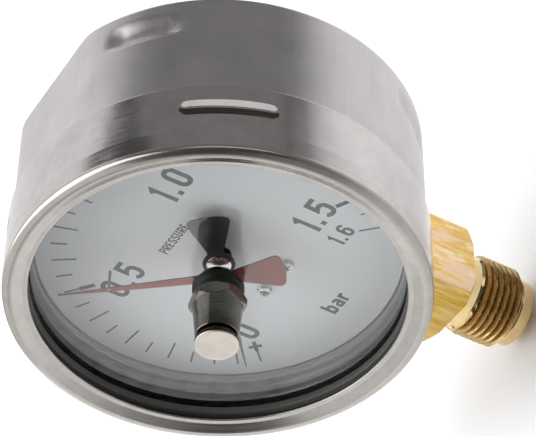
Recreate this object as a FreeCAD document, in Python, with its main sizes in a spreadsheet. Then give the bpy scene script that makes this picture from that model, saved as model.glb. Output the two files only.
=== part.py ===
"""Dial pressure gauge, 100 mm nominal size, with a radial bottom connection and a drag pointer.

The document is parametric: the driving sizes are cells of the spreadsheet "Sizes", and the bodies,
primitives and placements are bound to those cells. Lengths are in millimetres and angles in degrees.

Row frame: +Z up, the dial faces -Y, the dial's right-hand side is +X. The origin is the centre of the
sealing face at the lower end of the connection, where the centring pilot begins.

Most pieces are drawn in the face frame: x to the right and y up as the dial is read, and height towards
the reader, with height 0 on the dial's printed face.
"""

import FreeCAD, Part
import math
import os
import Sketcher

from FreeCAD import Placement, Rotation, Vector

document = FreeCAD.newDocument("PressureGauge")


# ---------------------------------------------------------------------------------------------
# Driving sizes
# ---------------------------------------------------------------------------------------------

DRIVING_SIZES = [
    # the whole gauge
    ("axis_height", 87.0, "sealing face to the dial's axis"),
    ("dial_offset", 21.0, "stem axis to the printed face of the dial"),
    # case
    ("case_radius", 49.5, "outside of the case wall"),
    ("case_wall", 1.0, "sheet thickness of the case"),
    ("case_back", 36.0, "dial face to the back of the case"),
    ("case_flat", 46.5, "axis to the pressed flats at the top and bottom"),
    ("flat_front", 9.0, "dial face to the front end of the flats"),
    ("shoulder_depth", 1.0, "dial face to the front of the case's shoulder"),
    ("neck_radius", 44.2, "inside of the case's neck"),
    ("window_seat", 8.4, "dial face to the neck's front, where the window rests"),
    ("opening_half", 12.0, "half the width of the square opening for the stem"),
    ("vent_radius", 6.5, "blow-out hole in the back"),
    ("vent_height", 24.0, "axis to the centre of the blow-out hole"),
    # bayonet ring
    ("ring_radius", 50.5, "outside of the bayonet ring"),
    ("ring_wall", 0.9, "sheet thickness of the bayonet ring"),
    ("ring_front", 15.8, "dial face to the front of the bayonet ring"),
    ("ring_rear", 4.7, "dial face back to the rear edge of the bayonet ring"),
    # window and dial
    ("window_radius", 47.3, "window"),
    ("window_front", 10.2, "dial face to the outside of the window"),
    ("gasket_front", 12.2, "dial face to the front of the window gasket"),
    ("dial_radius", 43.9, "dial"),
    ("dial_thickness", 0.5, "dial"),
    ("dial_screw_x", 5.1, "dial screws, either side of the axis"),
    ("dial_screw_drop", 15.5, "dial screws, below the axis"),
    # pointers
    ("pointer_length", 37.9, "axis to the tip of the pointer"),
    ("pointer_front", 3.2, "dial face to the front of the pointer"),
    ("drag_length", 38.8, "axis to the tip of the drag pointer"),
    ("drag_front", 7.5, "dial face to the front of the drag pointer"),
    ("pointer_sheet", 0.4, "sheet thickness of both pointers"),
    ("tail_radius", 16.0, "axis to the end of both pointers' tails"),
    ("drag_pin_radius", 26.4, "axis to the driver pin of the drag pointer"),
    # drag pointer's drive through the window
    ("spindle_radius", 1.5, "drag spindle"),
    ("bushing_radius", 3.0, "sleeve of the window bushing"),
    ("washer_radius", 6.15, "rubber washer on the window"),
    ("nut_rear", 13.7, "dial face to the rear of the conical nut"),
    ("nut_flats", 12.0, "across the flats of the conical nut"),
    ("cone_start", 17.2, "dial face to the end of the nut's hexagon"),
    ("cone_end", 25.8, "dial face to the front of the cone"),
    ("knob_radius", 5.2, "reset knob"),
    ("knob_front", 28.5, "dial face to the front of the reset knob"),
    # connection
    ("thread_radius", 10.4775, "crest of the G 1/2 thread"),
    ("thread_pitch", 1.814, "pitch of the G 1/2 thread"),
    ("thread_depth", 1.162, "depth of the G 1/2 thread"),
    ("thread_start", 4.0, "sealing face to the lower end of the thread"),
    ("collar_radius", 8.75, "collar below the thread"),
    ("pilot_radius", 3.0, "centring pilot"),
    ("pilot_length", 3.0, "centring pilot"),
    ("block_half", 11.0, "half the 22 mm square of the stem"),
    ("block_start", 20.0, "sealing face to the lower face of the square"),
    ("bore_radius", 1.5, "pressure channel"),
    # movement
    ("back_plate_rear", 17.0, "dial face to the rear of the movement"),
    ("front_plate_front", 6.0, "dial face to the front of the movement"),
    ("plate_thickness", 1.2, "both movement plates"),
    ("sector_front", 10.6, "dial face to the front of the sector gear"),
    ("sector_thickness", 0.8, "sector gear"),
    ("link_front", 9.4, "dial face to the front of the link"),
    ("link_thickness", 0.8, "link"),
    ("arbor_radius", 0.9, "pinion arbor"),
    ("pivot_radius", 0.6, "link pins"),
    # Bourdon tube
    ("tube_radius", 38.0, "dial axis to the middle of the tube"),
    ("tube_depth", 22.0, "dial face to the middle of the tube"),
    ("tube_half_thickness", 2.5, "half the thin way of the tube's oval"),
    ("tube_half_straight", 4.0, "half the straight side of the tube's oval"),
    ("tube_wall", 0.35, "wall of the tube"),
]

# Angles of the face frame, counter-clockwise from the right-hand side as the dial is read.
POINTER_ANGLE = 220.2         # pointer at rest, just above zero
DRAG_ANGLE = 130.4            # drag pointer at rest
NUT_ANGLE = 7.0               # one corner of the conical nut's hexagon
POCKET_CENTRE = 52.0          # first of the case's four pressed pockets
POCKET_SPAN = 25.0
GROOVE_CENTRE = 27.7          # first of the bayonet ring's four pressed grooves
GROOVE_SPAN = 26.8
TUBE_TIP_ANGLE = -12.0        # tip end of the Bourdon tube
TUBE_ROOT_ANGLE = 257.0       # root end, inside the stem's slot
END_PIECE_SPAN = 10.0

# Gear train: the sector is a part of a 160-tooth wheel and turns a 16-tooth pinion.
GEAR_MODULE = 0.28
PINION_TEETH = 16
WHEEL_TEETH = 160
SECTOR_TEETH = 18
SECTOR_X = 10.0
SECTOR_Y = -math.sqrt((GEAR_MODULE * (PINION_TEETH + WHEEL_TEETH) / 2) ** 2 - SECTOR_X ** 2)
TAIL_LENGTH = 7.5             # sector's pivot to the link pin
TAIL_ANGLE = -61.0            # direction of the tail at rest
TIP_X = 36.5                  # pivot on the tube's end piece
TIP_Y = -11.5


# Clearances between pieces.
GAP = 0.05
TURNING_GAP = 0.1


class Size:
    """A length that carries its value and the spreadsheet formula that gives it."""

    def __init__(self, value, formula):
        self.value = value
        self.formula = formula

    def __add__(self, other):
        return joined(self, "+", other, lambda a, b: a + b)

    def __radd__(self, other):
        return joined(other, "+", self, lambda a, b: a + b)

    def __sub__(self, other):
        return joined(self, "-", other, lambda a, b: a - b)

    def __rsub__(self, other):
        return joined(other, "-", self, lambda a, b: a - b)

    def __mul__(self, other):
        return joined(self, "*", other, lambda a, b: a * b)

    def __rmul__(self, other):
        return joined(other, "*", self, lambda a, b: a * b)

    def __truediv__(self, other):
        return joined(self, "/", other, lambda a, b: a / b)

    def __neg__(self):
        return 0.0 - self


def as_size(length):
    """A plain number as a Size; a Size comes back unchanged."""
    if isinstance(length, Size):
        return length
    return Size(float(length), f"({float(length):.6f})")


def joined(left, sign, right, rule):
    """The Size that comes from two others by one arithmetic sign."""
    left = as_size(left)
    right = as_size(right)
    return Size(rule(left.value, right.value), f"({left.formula} {sign} {right.formula})")


class Dimensions:
    """The driving sizes by name."""


def write_sheet():
    """Fill the spreadsheet and return the sizes by name."""
    sheet = document.addObject("Spreadsheet::Sheet", "Sizes")
    sizes = Dimensions()
    for row, (alias, value, meaning) in enumerate(DRIVING_SIZES, start=1):
        sheet.set(f"A{row}", alias)
        sheet.set(f"B{row}", str(value))
        sheet.setAlias(f"B{row}", alias)
        sheet.set(f"C{row}", meaning)
        setattr(sizes, alias, Size(value, f"Sizes.{alias}"))
    document.recompute()
    return sizes


mm = write_sheet()


# ---------------------------------------------------------------------------------------------
# Helpers: placing, sketching, turning, plates, rods and booleans
# ---------------------------------------------------------------------------------------------

FACE_TURN = Rotation(Vector(1, 0, 0), 90)
PARTS = []


def bind(target, property_name, length):
    """Bind one property of an object to a Size's formula."""
    target.setExpression(property_name, as_size(length).formula)


def on_face(target, x=0.0, y=0.0, height=0.0, angle=0.0):
    """Place an object drawn in the face frame, turned about the dial's axis by an angle."""
    base_y = -mm.dial_offset - height
    base_z = mm.axis_height + y
    turn = FACE_TURN.multiply(Rotation(Vector(0, 0, 1), angle))
    target.Placement = Placement(Vector(as_size(x).value, base_y.value, base_z.value), turn)
    bind(target, "Placement.Base.x", x)
    bind(target, "Placement.Base.y", base_y)
    bind(target, "Placement.Base.z", base_z)
    return target


def part(target, label):
    """Name a finished sub-part; its label names its file."""
    target.Label = label
    PARTS.append(target)
    return target


def plane_of(body, role):
    """One of a body's own origin planes."""
    for feature in body.Origin.OriginFeatures:
        if feature.Role == role:
            return feature
    raise ValueError(role)


def new_sketch(body, name, role="XY_Plane", height=0.0):
    """A sketch on one of the body's own planes, moved along the plane's normal to a height."""
    sketch = body.newObject("Sketcher::SketchObject", name)
    sketch.AttachmentSupport = [(plane_of(body, role), "")]
    sketch.MapMode = "FlatFace"
    sketch.AttachmentOffset = Placement(Vector(0, 0, as_size(height).value), Rotation())
    bind(sketch, "AttachmentOffset.Base.z", height)
    return sketch


def constrain(sketch, *arguments):
    """Add a constraint; a Size as its last argument is bound to the spreadsheet."""
    *fixed, last = arguments
    if isinstance(last, Size):
        index = sketch.addConstraint(Sketcher.Constraint(*fixed, last.value))
        sketch.setExpression(f"Constraints[{index}]", last.formula)
    else:
        sketch.addConstraint(Sketcher.Constraint(*fixed, last))


def pin_point(sketch, element, end, x, y):
    """Fix one end of a sketch element at x, y from the sketch's origin."""
    constrain(sketch, "DistanceX", -1, 1, element, end, as_size(x))
    constrain(sketch, "DistanceY", -1, 1, element, end, as_size(y))


def draw_polygon(sketch, corners):
    """A closed polygon whose corners are fixed by bound distances."""
    points = [Vector(as_size(x).value, as_size(y).value, 0) for x, y in corners]
    first = len(sketch.Geometry)
    count = len(points)
    for index, start in enumerate(points):
        sketch.addGeometry(Part.LineSegment(start, points[(index + 1) % count]), False)
    for index in range(count):
        constrain(sketch, "Coincident", first + index, 2, first + (index + 1) % count, 1)
    for index, (x, y) in enumerate(corners):
        pin_point(sketch, first + index, 1, x, y)


def draw_circle(sketch, x, y, radius):
    """A circle with bound centre and radius."""
    centre = Vector(as_size(x).value, as_size(y).value, 0)
    circle = sketch.addGeometry(Part.Circle(centre, Vector(0, 0, 1), as_size(radius).value), False)
    pin_point(sketch, circle, 3, x, y)
    constrain(sketch, "Radius", circle, as_size(radius))


def draw_flatted_circle(sketch, radius, flat):
    """A circle cut off by level flats above and below its centre."""
    corner = math.asin(flat.value / radius.value)
    circle = Part.Circle(Vector(0, 0, 0), Vector(0, 0, 1), radius.value)
    across = radius.value * math.cos(corner)
    right = sketch.addGeometry(Part.ArcOfCircle(circle, -corner, corner), False)
    top = sketch.addGeometry(
        Part.LineSegment(Vector(across, flat.value, 0), Vector(-across, flat.value, 0)), False)
    left = sketch.addGeometry(Part.ArcOfCircle(circle, math.pi - corner, math.pi + corner), False)
    bottom = sketch.addGeometry(
        Part.LineSegment(Vector(-across, -flat.value, 0), Vector(across, -flat.value, 0)), False)
    for arc in (right, left):
        constrain(sketch, "Coincident", arc, 3, -1, 1)
    for element, following in ((right, top), (top, left), (left, bottom), (bottom, right)):
        constrain(sketch, "Coincident", element, 2, following, 1)
    constrain(sketch, "Radius", right, radius)
    constrain(sketch, "Equal", right, left)
    constrain(sketch, "Horizontal", top)
    constrain(sketch, "Horizontal", bottom)
    constrain(sketch, "DistanceY", -1, 1, top, 1, flat)
    constrain(sketch, "DistanceY", bottom, 1, -1, 1, flat)


def draw_oval(sketch, x, y, half_thickness, half_straight):
    """An oval with two straight upright sides and round ends."""
    side = half_thickness.value
    reach = half_straight.value
    centre = Vector(x.value, y.value, 0)
    upper = Part.Circle(centre + Vector(0, reach, 0), Vector(0, 0, 1), side)
    lower = Part.Circle(centre - Vector(0, reach, 0), Vector(0, 0, 1), side)
    top = sketch.addGeometry(Part.ArcOfCircle(upper, 0, math.pi), False)
    left = sketch.addGeometry(
        Part.LineSegment(centre + Vector(-side, reach, 0), centre + Vector(-side, -reach, 0)), False)
    bottom = sketch.addGeometry(Part.ArcOfCircle(lower, math.pi, 2 * math.pi), False)
    right = sketch.addGeometry(
        Part.LineSegment(centre + Vector(side, -reach, 0), centre + Vector(side, reach, 0)), False)
    for element, following in ((top, left), (left, bottom), (bottom, right), (right, top)):
        constrain(sketch, "Tangent", element, 2, following, 1)
    pin_point(sketch, top, 3, x, y + half_straight)
    pin_point(sketch, bottom, 3, x, y - half_straight)
    constrain(sketch, "Radius", top, half_thickness)
    constrain(sketch, "Radius", bottom, half_thickness)


def new_body(name):
    return document.addObject("PartDesign::Body", name)


def add_turn(body, sketch, degrees=360.0):
    """Revolve a section about the body's Z axis."""
    turn = body.newObject("PartDesign::Revolution", sketch.Name + "_turn")
    turn.Profile = sketch
    turn.ReferenceAxis = (sketch, ["V_Axis"])
    turn.Angle = degrees
    return turn


def turned(name, outline, degrees=360.0):
    """A body turned about its Z axis from (radius, height) corners."""
    body = new_body(name)
    sketch = new_sketch(body, name + "_section", "XZ_Plane")
    draw_polygon(sketch, outline)
    add_turn(body, sketch, degrees)
    return body


def ring(name, inner, outer, low, high, degrees=360.0):
    """A plain ring, or a stretch of one."""
    return turned(name, [(inner, low), (outer, low), (outer, high), (inner, high)], degrees)


def add_pad(body, name, draw, low, high):
    """Pad whatever the draw function puts in a sketch, from one height to another."""
    sketch = new_sketch(body, name + "_outline", "XY_Plane", low)
    draw(sketch)
    pad = body.newObject("PartDesign::Pad", name)
    pad.Profile = sketch
    pad.Length = (as_size(high) - low).value
    bind(pad, "Length", as_size(high) - low)
    return pad


def add_pocket(body, name, draw, low, high):
    """Cut whatever the draw function puts in a sketch, from one height up to another."""
    sketch = new_sketch(body, name + "_outline", "XY_Plane", low)
    draw(sketch)
    pocket = body.newObject("PartDesign::Pocket", name)
    pocket.Profile = sketch
    pocket.Reversed = True
    pocket.Length = (as_size(high) - low).value
    bind(pocket, "Length", as_size(high) - low)
    return pocket


def plate(name, corners, low, high, holes=()):
    """A flat plate from its corners, with round (x, y, radius) holes."""
    body = new_body(name)

    def draw(sketch):
        draw_polygon(sketch, corners)
        for x, y, radius in holes:
            draw_circle(sketch, x, y, radius)

    add_pad(body, name + "_pad", draw, low, high)
    return body


def add_fillet(body, name, radius, chosen):
    """Round the edges of the body's newest feature that a test picks out."""
    document.recompute()
    base = body.Tip
    edges = [f"Edge{number}" for number, edge in enumerate(base.Shape.Edges, start=1) if chosen(edge)]
    fillet = body.newObject("PartDesign::Fillet", name)
    fillet.Base = (base, edges)
    fillet.Radius = radius
    return fillet


def level_at(height):
    """A test for edges that lie wholly at one height."""
    return lambda edge: all(abs(vertex.Z - as_size(height).value) < 1e-4 for vertex in edge.Vertexes)


def upright(edge):
    """True for straight edges parallel to the body's Z axis."""
    if not isinstance(edge.Curve, Part.Line):
        return False
    return abs(abs(edge.Curve.Direction.z) - 1) < 1e-6


def rod(name, radius, low, high, x=0.0, y=0.0):
    """A cylinder along the dial's axis direction, between two heights."""
    cylinder = document.addObject("Part::Cylinder", name)
    bind(cylinder, "Radius", radius)
    bind(cylinder, "Height", as_size(high) - low)
    return on_face(cylinder, x, y, low)


def upright_rod(name, radius, low, high, x=0.0, y=0.0):
    """A cylinder along the stem's axis direction, between two levels of the row frame."""
    cylinder = document.addObject("Part::Cylinder", name)
    bind(cylinder, "Radius", radius)
    bind(cylinder, "Height", as_size(high) - low)
    return at_row(cylinder, x, y, low)


def at_row(target, x, y, z):
    """Move an object to a point of the row frame and bind that point."""
    target.Placement = Placement(Vector(as_size(x).value, as_size(y).value, as_size(z).value), Rotation())
    for letter, length in (("x", x), ("y", y), ("z", z)):
        bind(target, "Placement.Base." + letter, length)
    return target


def box(name, low, high):
    """A box between two corners of the row frame."""
    shape = document.addObject("Part::Box", name)
    for property_name, start, end in zip(("Length", "Width", "Height"), low, high):
        bind(shape, property_name, as_size(end) - start)
    return at_row(shape, *low)


def fused(name, *pieces):
    shape = document.addObject("Part::MultiFuse", name)
    shape.Shapes = list(pieces)
    shape.Refine = True
    return shape


def cut(name, base, *tools):
    """The base with every tool taken away."""
    shape = document.addObject("Part::Cut", name)
    shape.Base = base
    shape.Tool = tools[0] if len(tools) == 1 else fused(name + "_tools", *tools)
    shape.Refine = True
    return shape


def common(name, first, second):
    shape = document.addObject("Part::Common", name)
    shape.Base = first
    shape.Tool = second
    return shape


def group(name, pieces):
    """Separate identical solids that share one node."""
    shape = document.addObject("Part::Compound", name)
    shape.Links = list(pieces)
    return shape


def made(name, shape, x=0.0, y=0.0, height=0.0):
    """A feature whose shape has no sketch or primitive, placed at a point of the face frame."""
    feature = document.addObject("Part::Feature", name)
    feature.Shape = shape
    return on_face(feature, x, y, height)


def polar(radius, degrees):
    """A point of the face plane from its radius and angle."""
    angle = math.radians(degrees)
    return radius * math.cos(angle), radius * math.sin(angle)


# ---------------------------------------------------------------------------------------------
# Case and what closes it
# ---------------------------------------------------------------------------------------------

SCREW_SIDE = 14.4             # case screws, either side of the stem
CASE_SCREW_RADIUS = 1.5
CASE_SCREW_HEAD = 2.0
CASE_SCREW_HEIGHT = 1.4
CASE_SCREW_REACH = 4.5
RIM_DEPTH = 1.0               # sheet of the window rim
RIM_INSET = 0.3               # window's edge to the rim's edge
BACK_ROUNDING = 2.0
POCKET_REAR = -32.0           # heights of the pressed pockets
POCKET_FRONT = -24.0
POCKET_DEPTH = 0.6
GROOVE_REAR = -0.3            # heights of the bayonet grooves
GROOVE_FRONT = 4.9
GROOVE_DEPTH = 0.5
LIP_FALL = 1.4                # front of the bayonet ring to the edge of its lip
LIP_WIDTH = 5.0               # outside of the bayonet ring to the top of its lip
FRONT_ROUNDING = 2.4
PLUG_LIP = 1.2                # overlap of the blow-out plug's lips
PLUG_HEAD = 0.8


def make_case():
    """Deep-drawn case: flatted drum, round collar, neck and window rim, with pressed pockets."""
    body = new_body("case_shell")
    inner_radius = mm.case_radius - mm.case_wall
    inner_flat = mm.case_flat - mm.case_wall
    neck_outer = mm.neck_radius + mm.case_wall
    add_pad(body, "drum", lambda s: draw_flatted_circle(s, mm.case_radius, mm.case_flat),
            -mm.case_back, -mm.flat_front)
    add_pad(body, "collar", lambda s: draw_circle(s, 0, 0, mm.case_radius),
            -mm.flat_front, -mm.shoulder_depth)
    add_pad(body, "neck", lambda s: draw_circle(s, 0, 0, neck_outer),
            -mm.shoulder_depth, mm.window_seat - RIM_DEPTH)
    add_pad(body, "rim", lambda s: draw_circle(s, 0, 0, mm.window_radius - RIM_INSET),
            mm.window_seat - RIM_DEPTH, mm.window_seat)
    add_fillet(body, "back_rounding", BACK_ROUNDING, level_at(-mm.case_back))
    add_pocket(body, "drum_inside", lambda s: draw_flatted_circle(s, inner_radius, inner_flat),
               mm.case_wall - mm.case_back, mm.case_wall - mm.flat_front)
    add_pocket(body, "collar_inside", lambda s: draw_circle(s, 0, 0, inner_radius),
               mm.case_wall - mm.flat_front, -mm.shoulder_depth - mm.case_wall)
    add_pocket(body, "neck_inside", lambda s: draw_circle(s, 0, 0, mm.neck_radius),
               -mm.shoulder_depth - mm.case_wall, mm.window_seat)
    on_face(body)

    below = mm.axis_height - mm.case_radius
    above = mm.axis_height - inner_flat + 5.0
    openings = [
        box("stem_opening", (-mm.opening_half, -mm.opening_half, below),
            (mm.opening_half, mm.opening_half, above)),
        rod("vent_opening", mm.vent_radius, -mm.case_back - 1, 2 - mm.case_back, 0, mm.vent_height),
    ]
    for number, side in enumerate((-1, 1), start=1):
        openings.append(upright_rod(f"case_screw_hole_{number}", CASE_SCREW_RADIUS + TURNING_GAP,
                                    below, above, side * SCREW_SIDE, 0))
    for number in range(4):
        pocket = ring(f"pocket_{number + 1}", mm.case_radius - POCKET_DEPTH, mm.case_radius + 1.0,
                      POCKET_REAR, POCKET_FRONT, POCKET_SPAN)
        openings.append(on_face(pocket, angle=POCKET_CENTRE - POCKET_SPAN / 2 + 90 * number))
    part(cut("case_cut", body, *openings), "case")


def make_bezel_ring():
    """Bayonet ring: straight skirt, rounded front edge and a lip that holds the window."""
    skirt = mm.ring_radius - mm.ring_wall
    front = mm.ring_front
    lip = mm.neck_radius
    lip_end = mm.gasket_front + GAP
    lip_top = mm.ring_radius - LIP_WIDTH
    body = turned("ring_shell", [
        (skirt, -mm.ring_rear), (mm.ring_radius, -mm.ring_rear), (mm.ring_radius, front),
        (lip_top, front), (lip, front - LIP_FALL), (lip, lip_end), (lip + 1.0, lip_end),
        (lip + 1.0, front - 2.2), (lip_top, front - 1.0), (skirt - 1.6, front - 1.0),
        (skirt, front - 2.6),
    ])
    document.recompute()
    outer_edge = mm.ring_radius.value
    add_fillet(body, "front_rounding", FRONT_ROUNDING, lambda edge: isinstance(edge.Curve, Part.Circle)
               and abs(edge.Curve.Radius - outer_edge) < 1e-4
               and abs(edge.Curve.Center.z - front.value) < 1e-4)
    on_face(body)
    grooves = []
    for number in range(4):
        groove = ring(f"groove_{number + 1}", mm.ring_radius - GROOVE_DEPTH, mm.ring_radius + 1.0,
                      GROOVE_REAR, GROOVE_FRONT, GROOVE_SPAN)
        grooves.append(on_face(groove, angle=GROOVE_CENTRE - GROOVE_SPAN / 2 + 90 * number))
    part(cut("ring_cut", body, *grooves), "bezel_ring")


def make_window():
    part(on_face(ring("window_disc", mm.bushing_radius + TURNING_GAP, mm.window_radius,
                      mm.window_seat, mm.window_front)), "window")


def make_window_gasket():
    """Rubber ring between window and bayonet ring, with a skirt round the window's edge."""
    skirt_inner = mm.window_radius + TURNING_GAP
    skirt_outer = mm.window_radius + 1.2
    inner = mm.neck_radius + TURNING_GAP
    part(on_face(turned("gasket_ring", [
        (inner, mm.window_front), (skirt_inner, mm.window_front),
        (skirt_inner, mm.window_seat), (skirt_outer, mm.window_seat),
        (skirt_outer, mm.gasket_front), (inner, mm.gasket_front),
    ])), "window_gasket")


def make_blow_out_plug():
    """Rubber plug of the blow-out hole, with a lip each side of the case's back."""
    outside = mm.case_back
    inside = mm.case_back - mm.case_wall
    lip = mm.vent_radius + PLUG_LIP
    part(on_face(turned("vent_plug", [
        (0, -outside - PLUG_HEAD), (lip, -outside - PLUG_HEAD), (lip, -outside), (mm.vent_radius, -outside),
        (mm.vent_radius, -inside), (lip, -inside), (lip, 1.0 - inside), (0, 1.0 - inside),
    ]), 0, mm.vent_height), "blow_out_plug")


def make_case_screws():
    """Two screws through the case's bottom flat into the stem's flange."""
    outside = mm.axis_height - mm.case_flat
    screws = []
    for number, side in enumerate((-1, 1), start=1):
        x = side * SCREW_SIDE
        head = upright_rod(f"case_screw_head_{number}", CASE_SCREW_HEAD,
                           outside - CASE_SCREW_HEIGHT, outside, x, 0)
        shank = upright_rod(f"case_screw_shank_{number}", CASE_SCREW_RADIUS,
                            outside, outside + CASE_SCREW_REACH, x, 0)
        screws.append(fused(f"case_screw_{number}", head, shank))
    part(group("case_screw_group", screws), "case_screws")


# ---------------------------------------------------------------------------------------------
# Connection
# ---------------------------------------------------------------------------------------------

TONGUE_SCREWS = ((-5.0, -13.0), (-5.0, -25.0))
FLANGE_HALF = 16.5
FLANGE_TOP = -41.4            # top of the stem's flange, in the face frame
TONGUE_HALF = 8.0
TONGUE_THICKNESS = 10.0
TONGUE_TOP = -8.0
SLOT_SPAN = 12.2              # part of the tube's root that sits in the stem
SLOT_ROOT = 12.0
BEVEL_WIDTH = 3.0             # turned bevel at the lower corners of the square
BEVEL_HEIGHT = 1.9
BLOCK_TOP = -33.0             # top of the block that holds the tube's root
THREAD_TURNS = 6
CREST = 0.3                   # width of a thread's crest


def thread_outline():
    """Corners of the threaded length, from its lower end to its upper end."""
    crest = mm.thread_radius
    root = mm.thread_radius - mm.thread_depth
    flank = (mm.thread_pitch - 2 * CREST) / 2
    corners = []
    for turn in range(THREAD_TURNS):
        start = mm.thread_start + mm.thread_pitch * turn
        corners += [
            (crest, start),
            (crest, start + CREST),
            (root, start + CREST + flank),
            (root, start + 2 * CREST + flank),
        ]
    last = mm.thread_start + mm.thread_pitch * THREAD_TURNS
    return corners + [(crest, last), (crest, last + CREST), (root - 0.1, last + CREST + flank)]


def make_stem():
    """Brass stem: pilot, collar, thread, undercut, square, flange and tongue, drilled for pressure."""
    root = mm.thread_radius - mm.thread_depth - 0.1
    lower = turned("stem_lower", [
        (0, -mm.pilot_length), (mm.pilot_radius - 0.3, -mm.pilot_length),
        (mm.pilot_radius, 0.3 - mm.pilot_length), (mm.pilot_radius, 0),
        (mm.collar_radius - 0.4, 0), (mm.collar_radius, 0.4), (mm.collar_radius, mm.thread_start),
        *thread_outline(),
        (root, mm.block_start + 1.0), (0, mm.block_start + 1.0),
    ])
    block = box("stem_block", (-mm.block_half, -mm.block_half, mm.block_start),
                (mm.block_half, mm.block_half, mm.axis_height + BLOCK_TOP))
    corner = mm.block_half * math.sqrt(2.0)
    bevel = turned("stem_bevel", [
        (0, mm.block_start), (corner - BEVEL_WIDTH, mm.block_start),
        (corner + 0.5, mm.block_start + BEVEL_HEIGHT),
        (corner + 0.5, mm.axis_height), (0, mm.axis_height),
    ])
    square = common("stem_square", block, bevel)
    flange_rest = mm.axis_height - mm.case_flat + mm.case_wall + GAP
    flange = box("stem_flange", (-FLANGE_HALF, -mm.block_half, flange_rest),
                 (FLANGE_HALF, mm.block_half, mm.axis_height + FLANGE_TOP))
    tongue_front = mm.back_plate_rear - mm.dial_offset
    tongue = box("stem_tongue", (-TONGUE_HALF, tongue_front, mm.axis_height + BLOCK_TOP - 1.0),
                 (TONGUE_HALF, tongue_front + TONGUE_THICKNESS, mm.axis_height + TONGUE_TOP))
    solid = fused("stem_solid", lower, square, flange, tongue)

    slot = new_body("tube_slot")
    sketch = new_sketch(slot, "tube_slot_section", "XZ_Plane")
    draw_oval(sketch, mm.tube_radius, -mm.tube_depth, mm.tube_half_thickness + 0.03,
              mm.tube_half_straight)
    add_turn(slot, sketch, SLOT_SPAN)
    on_face(slot, angle=TUBE_ROOT_ANGLE - SLOT_ROOT)
    channel_top = mm.axis_height - mm.tube_radius
    tools = [
        slot,
        upright_rod("channel", mm.bore_radius, -mm.pilot_length - 1, channel_top),
        box("channel_turn", (-9.0, -1.0, channel_top - 1.0), (0.0, 1.0, channel_top + 1.0)),
    ]
    for number, (x, y) in enumerate(TONGUE_SCREWS, start=1):
        tools.append(rod(f"tongue_hole_{number}", 1.3, -mm.back_plate_rear - 7.0,
                         1 - mm.back_plate_rear, x, y))
    for number, side in enumerate((-1, 1), start=1):
        tools.append(upright_rod(f"flange_hole_{number}", CASE_SCREW_RADIUS + GAP,
                                 flange_rest - 1, mm.axis_height + FLANGE_TOP + 1,
                                 side * SCREW_SIDE, 0))
    part(cut("stem_cut", solid, *tools), "stem")


def make_stem_gasket():
    """Square rubber ring that seals the stem in the case's opening."""
    low = mm.axis_height - mm.case_flat - 1.0
    high = mm.axis_height - mm.case_flat + mm.case_wall
    half = mm.opening_half - GAP
    hole = mm.block_half + 0.03
    outer = box("gasket_outer", (-half, -half, low), (half, half, high))
    inner = box("gasket_inner", (-hole, -hole, low - 1), (hole, hole, high + 1))
    part(cut("gasket_cut", outer, inner), "stem_gasket")


# ---------------------------------------------------------------------------------------------
# Dial and pointers
# ---------------------------------------------------------------------------------------------

DIAL_SCREW_HEAD = 1.87
DIAL_SCREW_RADIUS = 1.0
POST_RADIUS = 2.2
DISC_OF_POINTER = 3.9
DISC_OF_DRAG = 3.0
TAIL_ROOT = 0.6               # half the width of the pointers' tails at the axis
TAIL_END = 6.2                # and just beyond their outer end
BOSS_RADIUS = 3.0
PIN_RADIUS = 0.35             # drag pointer's driver pin
PIN_END = 1.5                 # dial face to the rear end of the driver pin


def dial_screw_places():
    return [(side * mm.dial_screw_x, -mm.dial_screw_drop) for side in (-1, 1)]


def make_dial():
    holes = [(x, y, DIAL_SCREW_RADIUS + TURNING_GAP) for x, y in dial_screw_places()]
    body = new_body("dial_disc")

    def draw(sketch):
        draw_circle(sketch, 0, 0, mm.dial_radius)
        draw_circle(sketch, 0, 0, 3.0)
        for x, y, radius in holes:
            draw_circle(sketch, x, y, radius)

    add_pad(body, "dial_pad", draw, -mm.dial_thickness, 0)
    part(on_face(body), "dial")


def make_dial_fasteners():
    """Screws through the dial and the posts that carry it on the movement's front plate."""
    screws = []
    posts = []
    for number, (x, y) in enumerate(dial_screw_places(), start=1):
        head = rod(f"dial_screw_head_{number}", DIAL_SCREW_HEAD, 0, 1.0, x, y)
        shank = rod(f"dial_screw_shank_{number}", DIAL_SCREW_RADIUS, -mm.front_plate_front - 1.0, 0, x, y)
        screws.append(fused(f"dial_screw_{number}", head, shank))
        post = ring(f"dial_post_{number}", DIAL_SCREW_RADIUS + GAP, POST_RADIUS,
                    -mm.front_plate_front, -mm.dial_thickness)
        posts.append(on_face(post, x, y))
    part(group("dial_screw_group", screws), "dial_screws")
    part(group("dial_post_group", posts), "dial_posts")


def pointer_blade(name, length, half_width, front):
    """Sheet pointer along +X of the face frame: tapered blade, hub disc and fan-shaped tail."""
    rear = front - mm.pointer_sheet
    blade = plate(name + "_blade", [
        (0, -half_width), (length * 0.35, -half_width), (length, -0.15), (length, 0.15),
        (length * 0.35, half_width), (0, half_width),
    ], rear, front)
    tail = -mm.tail_radius - 1
    fan = plate(name + "_fan", [(0, -TAIL_ROOT), (0, TAIL_ROOT), (tail, TAIL_END), (tail, -TAIL_END)],
                rear, front)
    limit = ring(name + "_limit", 0.0, mm.tail_radius, rear - 1, front + 1)
    return [blade, common(name + "_tail", fan, limit)]


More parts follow.
